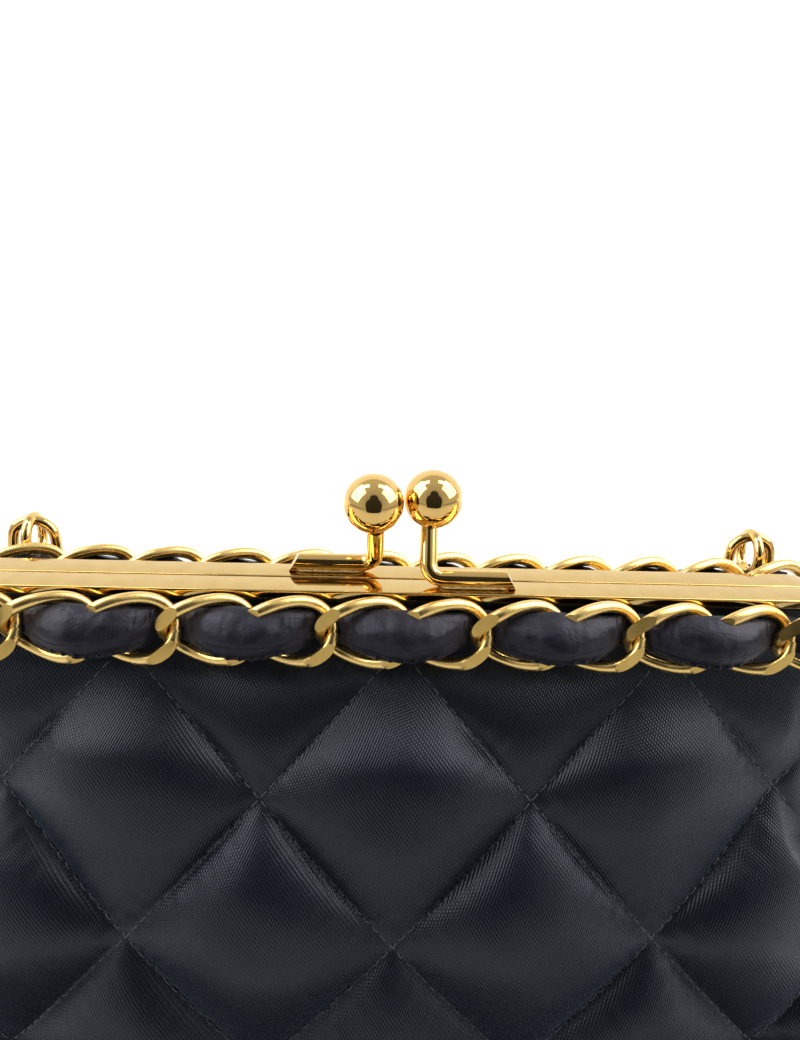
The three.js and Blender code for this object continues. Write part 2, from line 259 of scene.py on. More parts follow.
def make_lining(name):
    """Grosgrain lining with fine cross ribs."""
    n = Nodes(name, (0.03, 0.024, 0.026), 0.6, specular=0.3)
    ribs = n.add("ShaderNodeTexWave", wave_type="BANDS", bands_direction="Y", Scale=0.45, Distortion=0.6)
    n.link(n.coordinates("UV"), ribs.inputs["Vector"])
    tone = n.noise(n.coordinates("UV"), scale=0.15, detail=4)
    return n.finish(
        n.ramp(tone, [(0.3, (0.020, 0.016, 0.018)), (0.7, (0.038, 0.030, 0.033))]),
        n.number(ribs.outputs["Fac"], 0.7, 0.5),
        n.bump(ribs.outputs["Fac"], 0.5, 0.12), Sheen_Weight=0.15,
    )


def make_paper(name, shade):
    """Matt paper, from black (0) to white (1)."""
    n = Nodes(name, (shade, shade, shade), 0.8, specular=0.1)
    grain = n.noise(n.coordinates(), scale=0.05, detail=3)
    return n.finish(n.ramp(grain, [(0.3, (shade * 0.985,) * 3), (0.7, (shade,) * 3)]))


GOLD_BAR = make_gold("gold_bar", 0.09, 0.8, tint=(0.68, 0.475, 0.176), worn=(0.63, 0.43, 0.15))
GOLD_BALL = make_gold("gold_ball", 0.06, 0.5, tint=(0.86, 0.57, 0.195), worn=(0.82, 0.53, 0.175))
GOLD_CHAIN = make_gold("gold_chain", 0.24, 1.3, tint=(0.97, 0.68, 0.25), worn=(0.90, 0.60, 0.19))
# gold for the ground flats: the chain's gold with its tint darkened, a painted darker reflection
GOLD_CUT_PAINTED_DARK = make_gold("gold_cut_painted_dark", 0.20, 2.5, tint=(0.58, 0.39, 0.115), worn=(0.50, 0.33, 0.09))
BRUSHED = make_grained(
    "brushed_end", (0.80, 0.70, 0.48), 0.34, {"scale": (1, 1, 9)}, {"scale": 3.2, "detail": 2},
    tones=[(0.3, (0.62, 0.50, 0.30)), (0.7, (0.9, 0.82, 0.62))], relief=(0.5, 0.05), gloss=(0.28, 0.45),
    metallic=1.0,
)
SOLDER = make_grained(
    "solder", (0.83, 0.66, 0.34), 0.3, {}, {"scale": 2.6, "detail": 6, "roughness": 0.7},
    tones=[(0.35, (0.52, 0.34, 0.10)), (0.65, (0.92, 0.80, 0.52))], relief=(1.0, 0.35), gloss=(0.2, 0.5),
    metallic=1.0,
)
SATIN = make_satin("satin")
LEATHER = make_leather("lambskin")
THREAD = make_grained(
    "thread", (0.02, 0.022, 0.028), 0.5, {"kind": "UV", "scale": (2, 9, 1)}, {"scale": 1.0, "detail": 2},
    tones=[(0.3, (0.008, 0.011, 0.017)), (0.7, (0.030, 0.036, 0.050))], relief=(0.6, 0.05), Sheen_Weight=0.3,
)
LINING = make_lining("lining_cloth")
BOARD = make_grained(
    "board", (0.16, 0.11, 0.07), 0.85, {"scale": (0.4, 3, 3)}, {"scale": 1.0, "detail": 5},
    tones=[(0.3, (0.11, 0.075, 0.045)), (0.7, (0.20, 0.15, 0.10))], relief=(0.4, 0.1),
)


# ---------------------------------------------------------------- mesh helpers
def make_object(name, shape, *materials, marks=None):
    """A piece from points, faces and, for cloth, one pair of coordinates per point, all in millimetres.

    marks says which of the materials each face has.
    """
    points, faces, *cloth = shape
    mesh = bpy.data.meshes.new(name)
    mesh.from_pydata((np.asarray(points, float) * MM).tolist(), [], [tuple(f) for f in faces])
    mesh.validate()
    mesh.polygons.foreach_set("use_smooth", [True] * len(mesh.polygons))
    for material in materials:
        mesh.materials.append(material)
    if marks is not None:
        mesh.polygons.foreach_set("material_index", list(marks))
    if cloth:
        layer = mesh.uv_layers.new(name="cloth")
        loops = np.empty(len(mesh.loops), int)
        mesh.loops.foreach_get("vertex_index", loops)
        layer.data.foreach_set("uv", np.asarray(cloth[0], float)[loops].ravel())
    piece = bpy.data.objects.new(name, mesh)
    scene.collection.objects.link(piece)
    return piece


def solid(name, shape, *materials, sharp=None, marks=None):
    """A closed piece with its faces turned outwards. Edges sharper than sharp degrees aren't smoothed."""
    piece = make_object(name, shape, *materials, marks=marks)
    mesh = bmesh.new()
    mesh.from_mesh(piece.data)
    bmesh.ops.recalc_face_normals(mesh, faces=mesh.faces)
    mesh.to_mesh(piece.data)
    mesh.free()
    if sharp is not None:
        piece.data.set_sharp_from_angle(angle=math.radians(sharp))
    return piece


def dress(piece, body, slot, *nodes):
    """Rides a piece on its body, and hides the CAD nodes it stands for; slot is not used."""
    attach(piece, body)
    if nodes:
        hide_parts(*nodes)
    return piece


def grid_faces(rows, columns, wrap_rows=False, wrap_columns=False):
    """Quads between neighbouring points of a grid, also across its ends where it wraps."""
    faces = []
    for i in range(rows if wrap_rows else rows - 1):
        for j in range(columns if wrap_columns else columns - 1):
            a, b = i * columns + j, i * columns + (j + 1) % columns
            c, d = ((i + 1) % rows) * columns + (j + 1) % columns, ((i + 1) % rows) * columns + j
            faces.append((a, b, c, d))
    return faces


def sheet_faces(rows, columns):
    """Faces of a closed sheet: a grid, a second grid behind it, and the rims between them."""
    count = rows * columns
    front = grid_faces(rows, columns)
    back = [tuple(i + count for i in reversed(f)) for f in front]
    rim = list(range(columns)) + [i * columns + columns - 1 for i in range(1, rows)]
    rim += [(rows - 1) * columns + j for j in range(columns - 2, -1, -1)]
    rim += [i * columns for i in range(rows - 2, 0, -1)]
    return front + back + [(a, b, b + count, a + count) for a, b in zip(rim, rim[1:] + rim[:1])]


def two_sided(outer, inner, u, v):
    """A closed sheet's points, its faces, and its cloth coordinates, the same on both sides."""
    uv = np.stack([u.ravel(), v.ravel()], 1)
    points = np.concatenate([outer.reshape(-1, 3), inner.reshape(-1, 3)])
    return points, sheet_faces(*u.shape), np.concatenate([uv, uv])


def merged(parts):
    """Joins (points, faces) parts, or (points, faces, uv) parts, into one."""
    points, faces, uvs, start = [], [], [], 0
    for part in parts:
        points.append(np.asarray(part[0], float))
        faces += [tuple(i + start for i in face) for face in part[1]]
        if len(part) > 2:
            uvs.append(np.asarray(part[2], float))
        start += len(part[0])
    joined = (np.concatenate(points), faces)
    return (*joined, np.concatenate(uvs)) if uvs else joined


def mixed(a, b, at_a, at_b, t):
    """Between a and b, where t lies between at_a and at_b."""
    return (at_b - t) / (at_b - at_a) * a + (t - at_a) / (at_b - at_a) * b


def spline(points, per_span):
    """A smooth line through points: centripetal Catmull-Rom, as the CAD wires are."""
    p = np.asarray(points, float)
    p = np.vstack([2 * p[0] - p[1], p, 2 * p[-1] - p[-2]])
    line = []
    for p0, p1, p2, p3 in zip(p, p[1:], p[2:], p[3:]):
        gaps = [max(np.linalg.norm(b - a), 1e-6) ** 0.5 for a, b in ((p0, p1), (p1, p2), (p2, p3))]
        t0, t1, t2, t3 = 0.0, gaps[0], gaps[0] + gaps[1], gaps[0] + gaps[1] + gaps[2]
        for t in np.linspace(t1, t2, per_span, endpoint=False):
            a1, a2, a3 = mixed(p0, p1, t0, t1, t), mixed(p1, p2, t1, t2, t), mixed(p2, p3, t2, t3, t)
            line.append(mixed(mixed(a1, a2, t0, t2, t), mixed(a2, a3, t1, t3, t), t1, t2, t))
    line.append(p[-2])
    return np.array(line)


def frames_along(line, closed=False):
    """Two unit vectors across a line at each of its points, carried along without twist."""
    line = np.asarray(line, float)
    if closed:
        tangents = np.roll(line, -1, 0) - np.roll(line, 1, 0)
    else:
        tangents = np.gradient(line, axis=0)
    tangents /= np.linalg.norm(tangents, axis=1)[:, None]
    start = np.array([0, 0, 1.0]) if abs(tangents[0][2]) < 0.9 else np.array([0, 1.0, 0])
    side = np.cross(tangents[0], start)
    sides, ups = [], []
    for tangent in tangents:
        side = side - tangent * side.dot(tangent)
        side = side / np.linalg.norm(side)
        sides.append(side)
        ups.append(np.cross(side, tangent))
    return np.array(sides), np.array(ups), tangents


def round_angles(steps):
    """Even angles once round a circle."""
    return np.linspace(0, 2 * math.pi, steps, endpoint=False)


def end_caps(sides, count):
    """The faces that close the first and the last ring of a tube of count points."""
    return [tuple(range(sides)), tuple(range(count - sides, count))]


def line_lengths(line):
    """How far along a line each of its points lies."""
    return np.concatenate([[0], np.cumsum(np.linalg.norm(np.diff(line, axis=0), axis=1))])


ROUND_END = [(0.98, 0.2), (0.85, 0.53), (0.5, 0.87)]  # how far out each ring lies, and its width, in radii


def tube(line, radius, sides=12, closed=False, round_ends=False):
    """A wire along a line; radius is a number or one per point. Returns points, faces, uv."""
    line = np.asarray(line, float)
    radii = np.full(len(line), radius, float) if np.isscalar(radius) else np.asarray(radius, float)
    if round_ends:
        step = (line[1] - line[0]) / np.linalg.norm(line[1] - line[0])
        back = (line[-1] - line[-2]) / np.linalg.norm(line[-1] - line[-2])
        out, width = np.array(ROUND_END).T
        head = line[0] - np.outer(out * radii[0], step)
        tail = line[-1] + np.outer(out[::-1] * radii[-1], back)
        line = np.vstack([head, line, tail])
        radii = np.concatenate([radii[0] * width, radii, radii[-1] * width[::-1]])
    across, up, _ = frames_along(line, closed)
    angles = round_angles(sides)
    turn = np.cos(angles)[None, :, None] * across[:, None] + np.sin(angles)[None, :, None] * up[:, None]
    points = (line[:, None] + radii[:, None, None] * turn).reshape(-1, 3)
    faces = grid_faces(len(line), sides, wrap_rows=closed, wrap_columns=True)
    uv = np.stack(np.broadcast_arrays(line_lengths(line)[:, None], np.sin(angles)[None] * 2), -1)
    if not closed:
        first, last = end_caps(sides, len(points))
        faces += [first[::-1], last]
    return points, faces, uv.reshape(-1, 2)


def smoothstep(value, low, high):
    """0 up to low, 1 from high, and smooth in between."""
    t = np.clip((np.asarray(value, float) - low) / (high - low), 0, 1)
    return t * t * (3 - 2 * t)


def softened(values, reach, width):
    """A row of values blurred by a bell this many steps wide, cut off at reach steps."""
    bell = np.exp(-0.5 * (np.arange(-reach, reach + 1) / width) ** 2)
    return np.convolve(np.pad(values, reach, mode="edge"), bell / bell.sum(), mode="valid")


def bump_at(x, y, z):
    """Smooth noise from about -1 to 1 at one point."""
    return noise.noise(Vector((x, y, z)))


def noise_at(points, scale, seed):
    """The same at each of many points, scaled and moved to another part of the noise."""
    return np.array([bump_at(x * scale + seed, y * scale - seed, z * scale) for x, y, z in points])


# ---------------------------------------------------------------- the handle strap, made first
HANDLE_X = 65.4
HALF_ROUTE = [
    (65.4, 15.6, 108.2), (65.3, 16.2, 104), (64.7, 17.2, 97), (63.2, 18.3, 89), (61, 19.8, 80.5),
    (58, 21.7, 71), (54.2, 24, 61), (48.6, 26.5, 50.5), (41.8, 28.1, 40), (33.4, 29.2, 30.2),
    (23.6, 29.6, 21.2), (12.5, 29.3, 15), (0, 29, 12.8),
]
STRAP_DIAMETER, STRAP_PITCH = 5.6, 6.6
STRAP_CORE, STRAP_SWELL = 2.45, 0.25  # radius of the leather, and how much it swells and is nipped
STRAP_LINK_HALF, STRAP_LINK_TWIST, STRAP_LINK_WIRE = (4.2, 2.75), 0.75, 0.62
STRAP_LINK_TURN = 0.55  # radians, to either side in turn
STRAP_LINK_PIECES = 6


def strap_line():
    """The strap's middle, from the left ring to the right one."""
    route = [(-x, y, z) for x, y, z in HALF_ROUTE[:-1]] + HALF_ROUTE[::-1]
    return spline(route, 10)


def even_steps(line, step):
    """The same line with points an even step apart, and its length."""
    length = line_lengths(line)
    count = max(int(round(length[-1] / step)), 2)
    marks = np.linspace(0, length[-1], count + 1)
    return np.stack([np.interp(marks, length, line[:, k]) for k in range(3)], 1), length[-1]


def make_strap():
    """The leather core as a cord, and the chain links round it in a few joined pieces."""
    line, length = even_steps(strap_line(), 0.8)
    # the leather inside the links swells between them and is nipped where they cross
    along = np.linspace(0, length, len(line))
    swell = STRAP_CORE + STRAP_SWELL * np.cos(2 * math.pi * along / STRAP_PITCH)
    core = make_object("handle_strap_leather", tube(line, swell, 14), LEATHER)
    dress(core, "handle", "lambskin", "handle_strap")
    across, up, tangents = frames_along(line)
    count = int((length - 4) / STRAP_PITCH)
    chunks = [[] for _ in range(STRAP_LINK_PIECES)]
    for i in range(count):
        at = (length - STRAP_PITCH * (count - 1)) / 2 + i * STRAP_PITCH
        k = int(round(at / length * (len(line) - 1)))
        turn = STRAP_LINK_TURN if i % 2 else -STRAP_LINK_TURN
        a = math.cos(turn) * across[k] + math.sin(turn) * up[k]
        b = -math.sin(turn) * across[k] + math.cos(turn) * up[k]
        t = round_angles(28)
        long, wide = STRAP_LINK_HALF
        ring = (
            line[k] + np.outer(long * np.cos(t), tangents[k]) + np.outer(wide * np.sin(t), a)
            + np.outer(STRAP_LINK_TWIST * np.sin(2 * t), b)
        )
        chunk = min(i * STRAP_LINK_PIECES // count, STRAP_LINK_PIECES - 1)
        chunks[chunk].append(tube(ring, STRAP_LINK_WIRE, 10, closed=True)[:2])
    for i, chunk in enumerate(chunks):
        piece = make_object(f"handle_strap_links_{i + 1}", merged(chunk), GOLD_CHAIN)
        dress(piece, "handle", "gold_metal")


make_strap()

# ---------------------------------------------------------------- the frame
BAR_NEAR, BAR_FAR = 0.15, 5.35
BAR_THICK, FLANGE_DROP, FLANGE_THICK = 1.5, 8.6, 1.0
CORNER = 9.0
ARM_FOOT = HINGE_Z + 5.3
EAR_RADIUS, EAR_THICK, EAR_STEP, PIN_HOLE = 4.6, 1.2, 1.6, 1.6


def rounded(loop, radii, steps=4):
    """A closed 2-D loop with its corners rounded."""
    loop = [np.array(p, float) for p in loop]
    out = []
    for i, corner in enumerate(loop):
        before, after = loop[i - 1], loop[(i + 1) % len(loop)]
        start = corner + (before - corner) / np.linalg.norm(before - corner) * radii[i]
        end = corner + (after - corner) / np.linalg.norm(after - corner) * radii[i]
        for t in np.linspace(0, 1, steps + 1):
            out.append((1 - t) ** 2 * start + 2 * t * (1 - t) * corner + t * t * end)
    return np.array(out)


def arch_line():
    """The frame's outer outline in X and Z from the left foot to the right one, and its inward normals."""
    points, inward = [], []
    for z in np.linspace(ARM_FOOT, FRAME_TOP - CORNER, 6)[:-1]:
        points.append((-FRAME_HALF, z))
        inward.append((1, 0))
    for angle in np.linspace(math.pi, math.pi / 2, 15):
        points.append((
            -FRAME_HALF + CORNER + CORNER * math.cos(angle), FRAME_TOP - CORNER + CORNER * math.sin(angle),
        ))
        inward.append((-math.cos(angle), -math.sin(angle)))
    for x in np.linspace(-FRAME_HALF + CORNER, 0, 12)[1:]:
        points.append((x, FRAME_TOP))
        inward.append((0, -1))
    mirrored = [(-x, z) for x, z in points[-2::-1]]
    return np.array(points + mirrored), np.array(inward + [(-a, b) for a, b in inward[-2::-1]])


def frame_channel(facing):
    """The bar's L-shaped section, swept along the arch."""
    near, far = BAR_NEAR, BAR_FAR
    section = rounded(
        [(0, near), (0, far), (BAR_THICK, far), (BAR_THICK, near + FLANGE_THICK),
         (FLANGE_DROP, near + FLANGE_THICK), (FLANGE_DROP, near)],
        [0.34, 0.38, 0.30, 0.3, 0.3, 0.3],
    )
    line, inward = arch_line()
    points = [
        (p[0] + n[0] * drop, facing * depth, p[1] + n[1] * drop)
        for p, n in zip(line, inward) for drop, depth in section
    ]
    faces = grid_faces(len(line), len(section), wrap_columns=True)
    if facing > 0:
        faces = [tuple(reversed(f)) for f in faces]
    return points, faces + end_caps(len(section), len(points))


def frame_ear(facing, side):
    """The hinge ear at an arm's end: a disc with a hole, grown up into the arm."""
    outer = FRAME_HALF if facing > 0 else FRAME_HALF - EAR_STEP
    top = ARM_FOOT + 0.6 - HINGE_Z
    angles = np.linspace(-math.pi, math.pi, 72, endpoint=False)
    bevel = 0.18
    points = []
    for angle in angles:
        reach = EAR_RADIUS
        if 0 < angle < math.radians(86):
            reach = max(EAR_RADIUS, min(BAR_FAR / max(math.cos(angle), 1e-6), top / math.sin(angle)))
        profile = [
            (PIN_HOLE, bevel), (PIN_HOLE + bevel, 0), (reach - bevel, 0), (reach, bevel),
            (reach, EAR_THICK - bevel), (reach - bevel, EAR_THICK), (PIN_HOLE + bevel, EAR_THICK),
            (PIN_HOLE, EAR_THICK - bevel),
        ]
        for radius, inset in profile:
            y, z = radius * math.cos(angle) * facing, radius * math.sin(angle)
            points.append((side * (outer - inset), y, HINGE_Z + z))
    return points, grid_faces(len(angles), len(profile), wrap_rows=True, wrap_columns=True)


def step_block(facing, side):
    """The short block that joins the front arm to its inset ear."""
    outer, inner = FRAME_HALF, FRAME_HALF - (EAR_STEP + EAR_THICK if facing < 0 else EAR_THICK)
    ring = rounded([(outer, BAR_NEAR), (outer, BAR_FAR), (inner, BAR_FAR), (inner, BAR_NEAR)], [0.3] * 4, 3)
    heights = [(ARM_FOOT + 0.05, 0.3), (ARM_FOOT + 0.3, 0), (ARM_FOOT + 2.9, 0), (ARM_FOOT + 3.1, 0.2)]
    centre = ring.mean(0)
    points = []
    for z, inset in heights:
        for x, y in ring:
            x2 = x + np.sign(centre[0] - x) * inset
            y2 = y + np.sign(centre[1] - y) * inset
            points.append((side * x2, facing * y2, z))
    faces = grid_faces(len(heights), len(ring), wrap_columns=True)
    return points, faces + end_caps(len(ring), len(points))


def make_frame(facing, body, node):
    """One half of the frame: the arched bar, and a block and an ear at each end."""
    parts = [frame_channel(facing)]
    for side in (-1, 1):
        parts.append(frame_ear(facing, side))
        parts.append(step_block(facing, side))
    dress(solid(f"{node}_bars", merged(parts), GOLD_BAR, sharp=50), body, "gold_metal", node)


make_frame(1, "rear_half", "frame_rear")
make_frame(-1, "front_half", "frame_front")


def lathe(profile, steps=32):
    """A closed turned shape round the X axis from (radius, x) pairs whose ends lie on the axis."""
    inner = profile[1:-1]
    angles = round_angles(steps)
    points = [(x, r * math.cos(a), r * math.sin(a)) for r, x in inner for a in angles]
    faces = grid_faces(len(inner), steps, wrap_columns=True)
    first, last = len(points), len(points) + 1
    points += [(profile[0][1], 0, 0), (profile[-1][1], 0, 0)]
    base = (len(inner) - 1) * steps
    for j in range(steps):
        faces.append((first, (j + 1) % steps, j))
        faces.append((last, base + j, base + (j + 1) % steps))
    return points, faces


def make_rivet(side, node):
    """A hinge rivet with a domed head outside and a flat one inside."""
    low, high = node_box(node)
    inner, outer = sorted((abs(low[0]), abs(high[0])))
    head, shank, rise = 2.5, 1.45, 0.9
    dome = [(head * math.sin(a), outer - rise + rise * math.cos(a)) for a in np.linspace(0, math.pi / 2, 8)]
    back = [(head, inner + 0.75), (head - 0.15, inner + 0.15), (head - 0.4, inner), (0, inner)]
    under = [(head - 0.1, outer - rise), (shank, outer - rise)]
    over = [(shank, inner + rise), (head - 0.1, inner + rise)]
    profile = [*dome, *under, *over, *back]
    points, faces = lathe(profile)
    points = np.array(points) * (side, 1, 1) + (0, 0, HINGE_Z)
    piece = solid(f"{node}_rivet", (points, faces), GOLD_BALL, sharp=40)
    dress(piece, "rear_half", "gold_metal", node)


for side, word in SIDES:
    make_rivet(side, f"hinge_pin_{word}")

# ---------------------------------------------------------------- the clasp
BALL_RADIUS, BALL_SPREAD, BALL_LEAN, BALL_RISE = 4.76, 9.55, 1.4, 13.5
STEM_SPREAD, STEM_RADIUS, STEM_FOOT, STEM_BEND, BAR_MIDDLE = 8.6, 1.42, 13.4, 2.3, 2.75
STEM_SLANT = 0.6  # of the sawn end
BEAD_WIDE, BEAD_HIGH, BEAD_LUMP, BEAD_TAPER = 1.25, 0.42, 0.14, 9


def arc_bend(corner, before, after, radius, steps):
    """Points of a round bend at a corner between two directions."""
    d1 = (before - corner) / np.linalg.norm(before - corner)
    d2 = (after - corner) / np.linalg.norm(after - corner)
    half = math.acos(np.clip(d1.dot(d2), -1, 1)) / 2
    cut = radius / math.tan(half)
    middle = corner + (d1 + d2) / np.linalg.norm(d1 + d2) * radius / math.sin(half)
    start, end = corner + d1 * cut, corner + d2 * cut
    a, b = start - middle, end - middle
    angle = math.acos(np.clip(a.dot(b) / radius ** 2, -1, 1))
    return [middle + (math.sin((1 - t) * angle) * a + math.sin(t * angle) * b) / math.sin(angle)
            for t in np.linspace(0, 1, steps)]


def make_stem(facing, body, node):
    """A bent round wire: its foot is brazed along the bar, its neck rises to the ball."""
    x = -facing * STEM_SPREAD / 2
    bar_y, ball_y = facing * BAR_MIDDLE, -facing * BALL_LEAN
    foot_z, neck_z = FRAME_TOP + STEM_RADIUS + 0.12, FRAME_TOP + BALL_RISE - BALL_RADIUS + 0.45
    foot = np.array([x - facing * STEM_FOOT, bar_y, foot_z])
    corner = np.array([x, bar_y, foot_z])
    neck = np.array([x, ball_y, neck_z])
    bend = arc_bend(corner, foot, neck, STEM_BEND, 16)
    straight = [foot + (bend[0] - foot) * t for t in np.linspace(0, 1, 12)[:-1]]
    up = [bend[-1] + (neck - bend[-1]) * t for t in np.linspace(0, 1, 8)[1:]]
    sides = 28
    points, faces, _ = tube(np.array([*straight, *bend, *up]), STEM_RADIUS, sides)
    # the foot's end is sawn off at a slant, with its lower edge left longer
    points[:sides, 0] = foot[0] + facing * (points[:sides, 2] - foot_z) * STEM_SLANT
    marks = np.zeros(len(faces), int)
    marks[-2] = 1
    piece = solid(f"{node}_wire", (points, faces), GOLD_BALL, BRUSHED, sharp=35, marks=marks)
    dress(piece, body, "gold_metal", node)
    make_solder_bead(facing, body, node, foot, bend[3])


def make_solder_bead(facing, body, node, start, end):
    """The lumpy brazed fillet between the foot and the bar, from its sawn end to its bend."""
    steps, sides = 60, 12
    low = FRAME_TOP + 0.01
    points = []
    for i in range(steps):
        t = i / (steps - 1)
        x = start[0] + (end[0] - start[0]) * t
        for j in range(sides):
            a = 2 * math.pi * j / sides
            lump = BEAD_LUMP * bump_at(x * 1.9, math.cos(a) * 1.5, facing * 7 + math.sin(a))
            taper = math.sin(math.pi * min(t * BEAD_TAPER, 1, (1 - t) * BEAD_TAPER) / 2)
            wide = (BEAD_WIDE + lump * 2) * taper + 0.05
            high = (BEAD_HIGH + lump) * 1.5 * (0.5 + 0.5 * math.sin(a))
            points.append((x, start[1] + wide * math.cos(a), low + max(high, 0)))
    faces = grid_faces(steps, sides, wrap_columns=True) + end_caps(sides, len(points))
    dress(solid(f"{node}_solder", (points, faces), SOLDER), body, "gold_metal")


def make_ball(facing, body, node):
    """A turned ball, plain all over."""
    centre = np.array([-facing * BALL_SPREAD / 2, -facing * BALL_LEAN, FRAME_TOP + BALL_RISE])
    arc = [(BALL_RADIUS * math.sin(a), BALL_RADIUS * math.cos(a)) for a in np.linspace(0, math.pi, 49)]
    points, faces = lathe(arc, 96)
    points = np.array(points)[:, [1, 2, 0]] + centre
    dress(solid(f"{node}_gilt", (points, faces), GOLD_BALL), body, "gold_metal", node)


for facing, body, word in ((1, "rear_half", "rear"), (-1, "front_half", "front")):
    make_stem(facing, body, f"clasp_stem_{word}")
    make_ball(facing, body, f"clasp_ball_{word}")

# ---------------------------------------------------------------- the chain trim
LINK_HALF_LENGTH, LINK_HALF_HEIGHT, LINK_WIRE, LINK_TWIST, LINK_LEAN = 7.1, 5.07, 0.93, 1.6, 0.1
LINK_COUNT = 12
CHAIN_Y = 8.7
CHAINS = {
    "front": {"facing": -1, "pitch": 12.17, "shift": 0.5, "z": FRAME_TOP - 5.4},
    "rear": {"facing": 1, "pitch": 11.98, "shift": 1.3, "z": FRAME_TOP - 5.0},
}
# ground flats on a link: where along it (degrees), how deep, and how the flat is tipped
LINK_FLATS = [(156, 0.60, (-0.40, -0.90, 0.12)), (-53, 0.50, (0.14, -0.98, -0.04))]
FLAT_REACH = 5.4  # a flat touches no wire further away than this


def link_at(t):
    """The middle of a link's wire, t radians round its oval."""
    return np.stack([
        LINK_HALF_LENGTH * np.cos(t), LINK_LEAN * np.cos(t) + LINK_TWIST * np.sin(2 * t),
        LINK_HALF_HEIGHT * np.sin(t),
    ], -1)


def link_shape():
    """A curb link from the front: a twisted oval of wire, pressed wide where it comes forward, and ground."""
    steps, sides = 120, 26
    t = round_angles(steps)
    line = link_at(t)
    forward = np.clip(-np.sin(2 * t), 0, 1)
    points, faces, _ = tube(line, LINK_WIRE, sides, closed=True)
    points = points.reshape(steps, sides, 3)
    middle = line[:, None]
    outward = np.stack([LINK_HALF_HEIGHT * np.cos(t), 0 * t, LINK_HALF_LENGTH * np.sin(t)], 1)
    outward /= np.linalg.norm(outward, axis=1)[:, None]
    off = points - middle
    wide = (off * outward[:, None]).sum(-1, keepdims=True) * outward[:, None]
    points = (middle + off + wide * 0.18 * forward[:, None, None]).reshape(-1, 3)
    return ground(points, faces)


def ground(points, faces):
    """The link after grinding: each flat is one clean face."""
    mesh = bmesh.new()
    corners = [mesh.verts.new(p) for p in points]
    for face in faces:
        mesh.faces.new([corners[i] for i in face])
    for degrees, depth, normal in LINK_FLATS:
        at, n = Vector(link_at(math.radians(degrees))), Vector(normal).normalized()
        near = [v for v in mesh.verts if (v.co - at).length < FLAT_REACH]
        edges = {e for v in near for e in v.link_edges}
        sides = {f for v in near for f in v.link_faces if not f.material_index}
        cut = bmesh.ops.bisect_plane(
            mesh, geom=near + list(edges) + list(sides), dist=1e-5, plane_co=at + n * (LINK_WIRE - depth),
            plane_no=n, clear_outer=True,
        )
        rim = [e for e in cut["geom_cut"] if isinstance(e, bmesh.types.BMEdge) and e.is_boundary]
        # each flat gets the second material, the darker gold of painted reflection
        for face in bmesh.ops.holes_fill(mesh, edges=rim, sides=0)["faces"]:
            face.material_index = 1
    mesh.verts.index_update()
    cut_points = np.array([v.co[:] for v in mesh.verts])
    cut_faces = [tuple(v.index for v in f.verts) for f in mesh.faces]
    marks = [f.material_index for f in mesh.faces]
    mesh.free()
    return cut_points, cut_faces, marks


# the strip's front and back faces and its edges, from the middle of a lobe (0) to behind a joint (1)
LOBE_AT = [0.0, 0.15, 0.3, 0.5, 0.68, 0.84, 1.0]
LOBE_FRONT = [-5.5, -5.3, -4.8, -3.6, -1.9, 0.4, 2.3]
LOBE_BACK = [-2.45, -2.4, -2.1, -0.9, 1.0, 2.9, 4.0]
LOBE_LOWER = {"front": [4.45, 4.4, 4.2, 3.7, 3.15, 2.7, 2.4], "rear": [3.9, 3.9, 3.8, 3.6, 3.2, 2.9, 2.7]}
LOBE_UPPER = {"front": [4.5, 4.5, 4.35, 3.95, 3.5, 3.1, 2.8], "rear": [3.15, 3.2, 3.5, 4.15, 4.2, 3.9, 3.7]}
SECTION_RADIUS = 4.8  # of a round section with about the strip's girth
WEAVE_REACH = 68.5  # from the middle of the chain to either end of the strip
SEAM_DEEP, PUCKER_DEEP, EDGE_CURL = 1.05, 0.48, 2.6
FOLD_DEEP, DENT_DEEP, EDGE_WANDER = 0.38, 0.34, 0.30


def eased(at, values, x):
    """Interpolates smoothly through values."""
    fine = np.linspace(-0.2, 1.2, 281)
    mirrored = np.interp(1 - abs(1 - abs(fine)), at, values)
    return np.interp(x, fine, softened(mirrored, 12, 5))


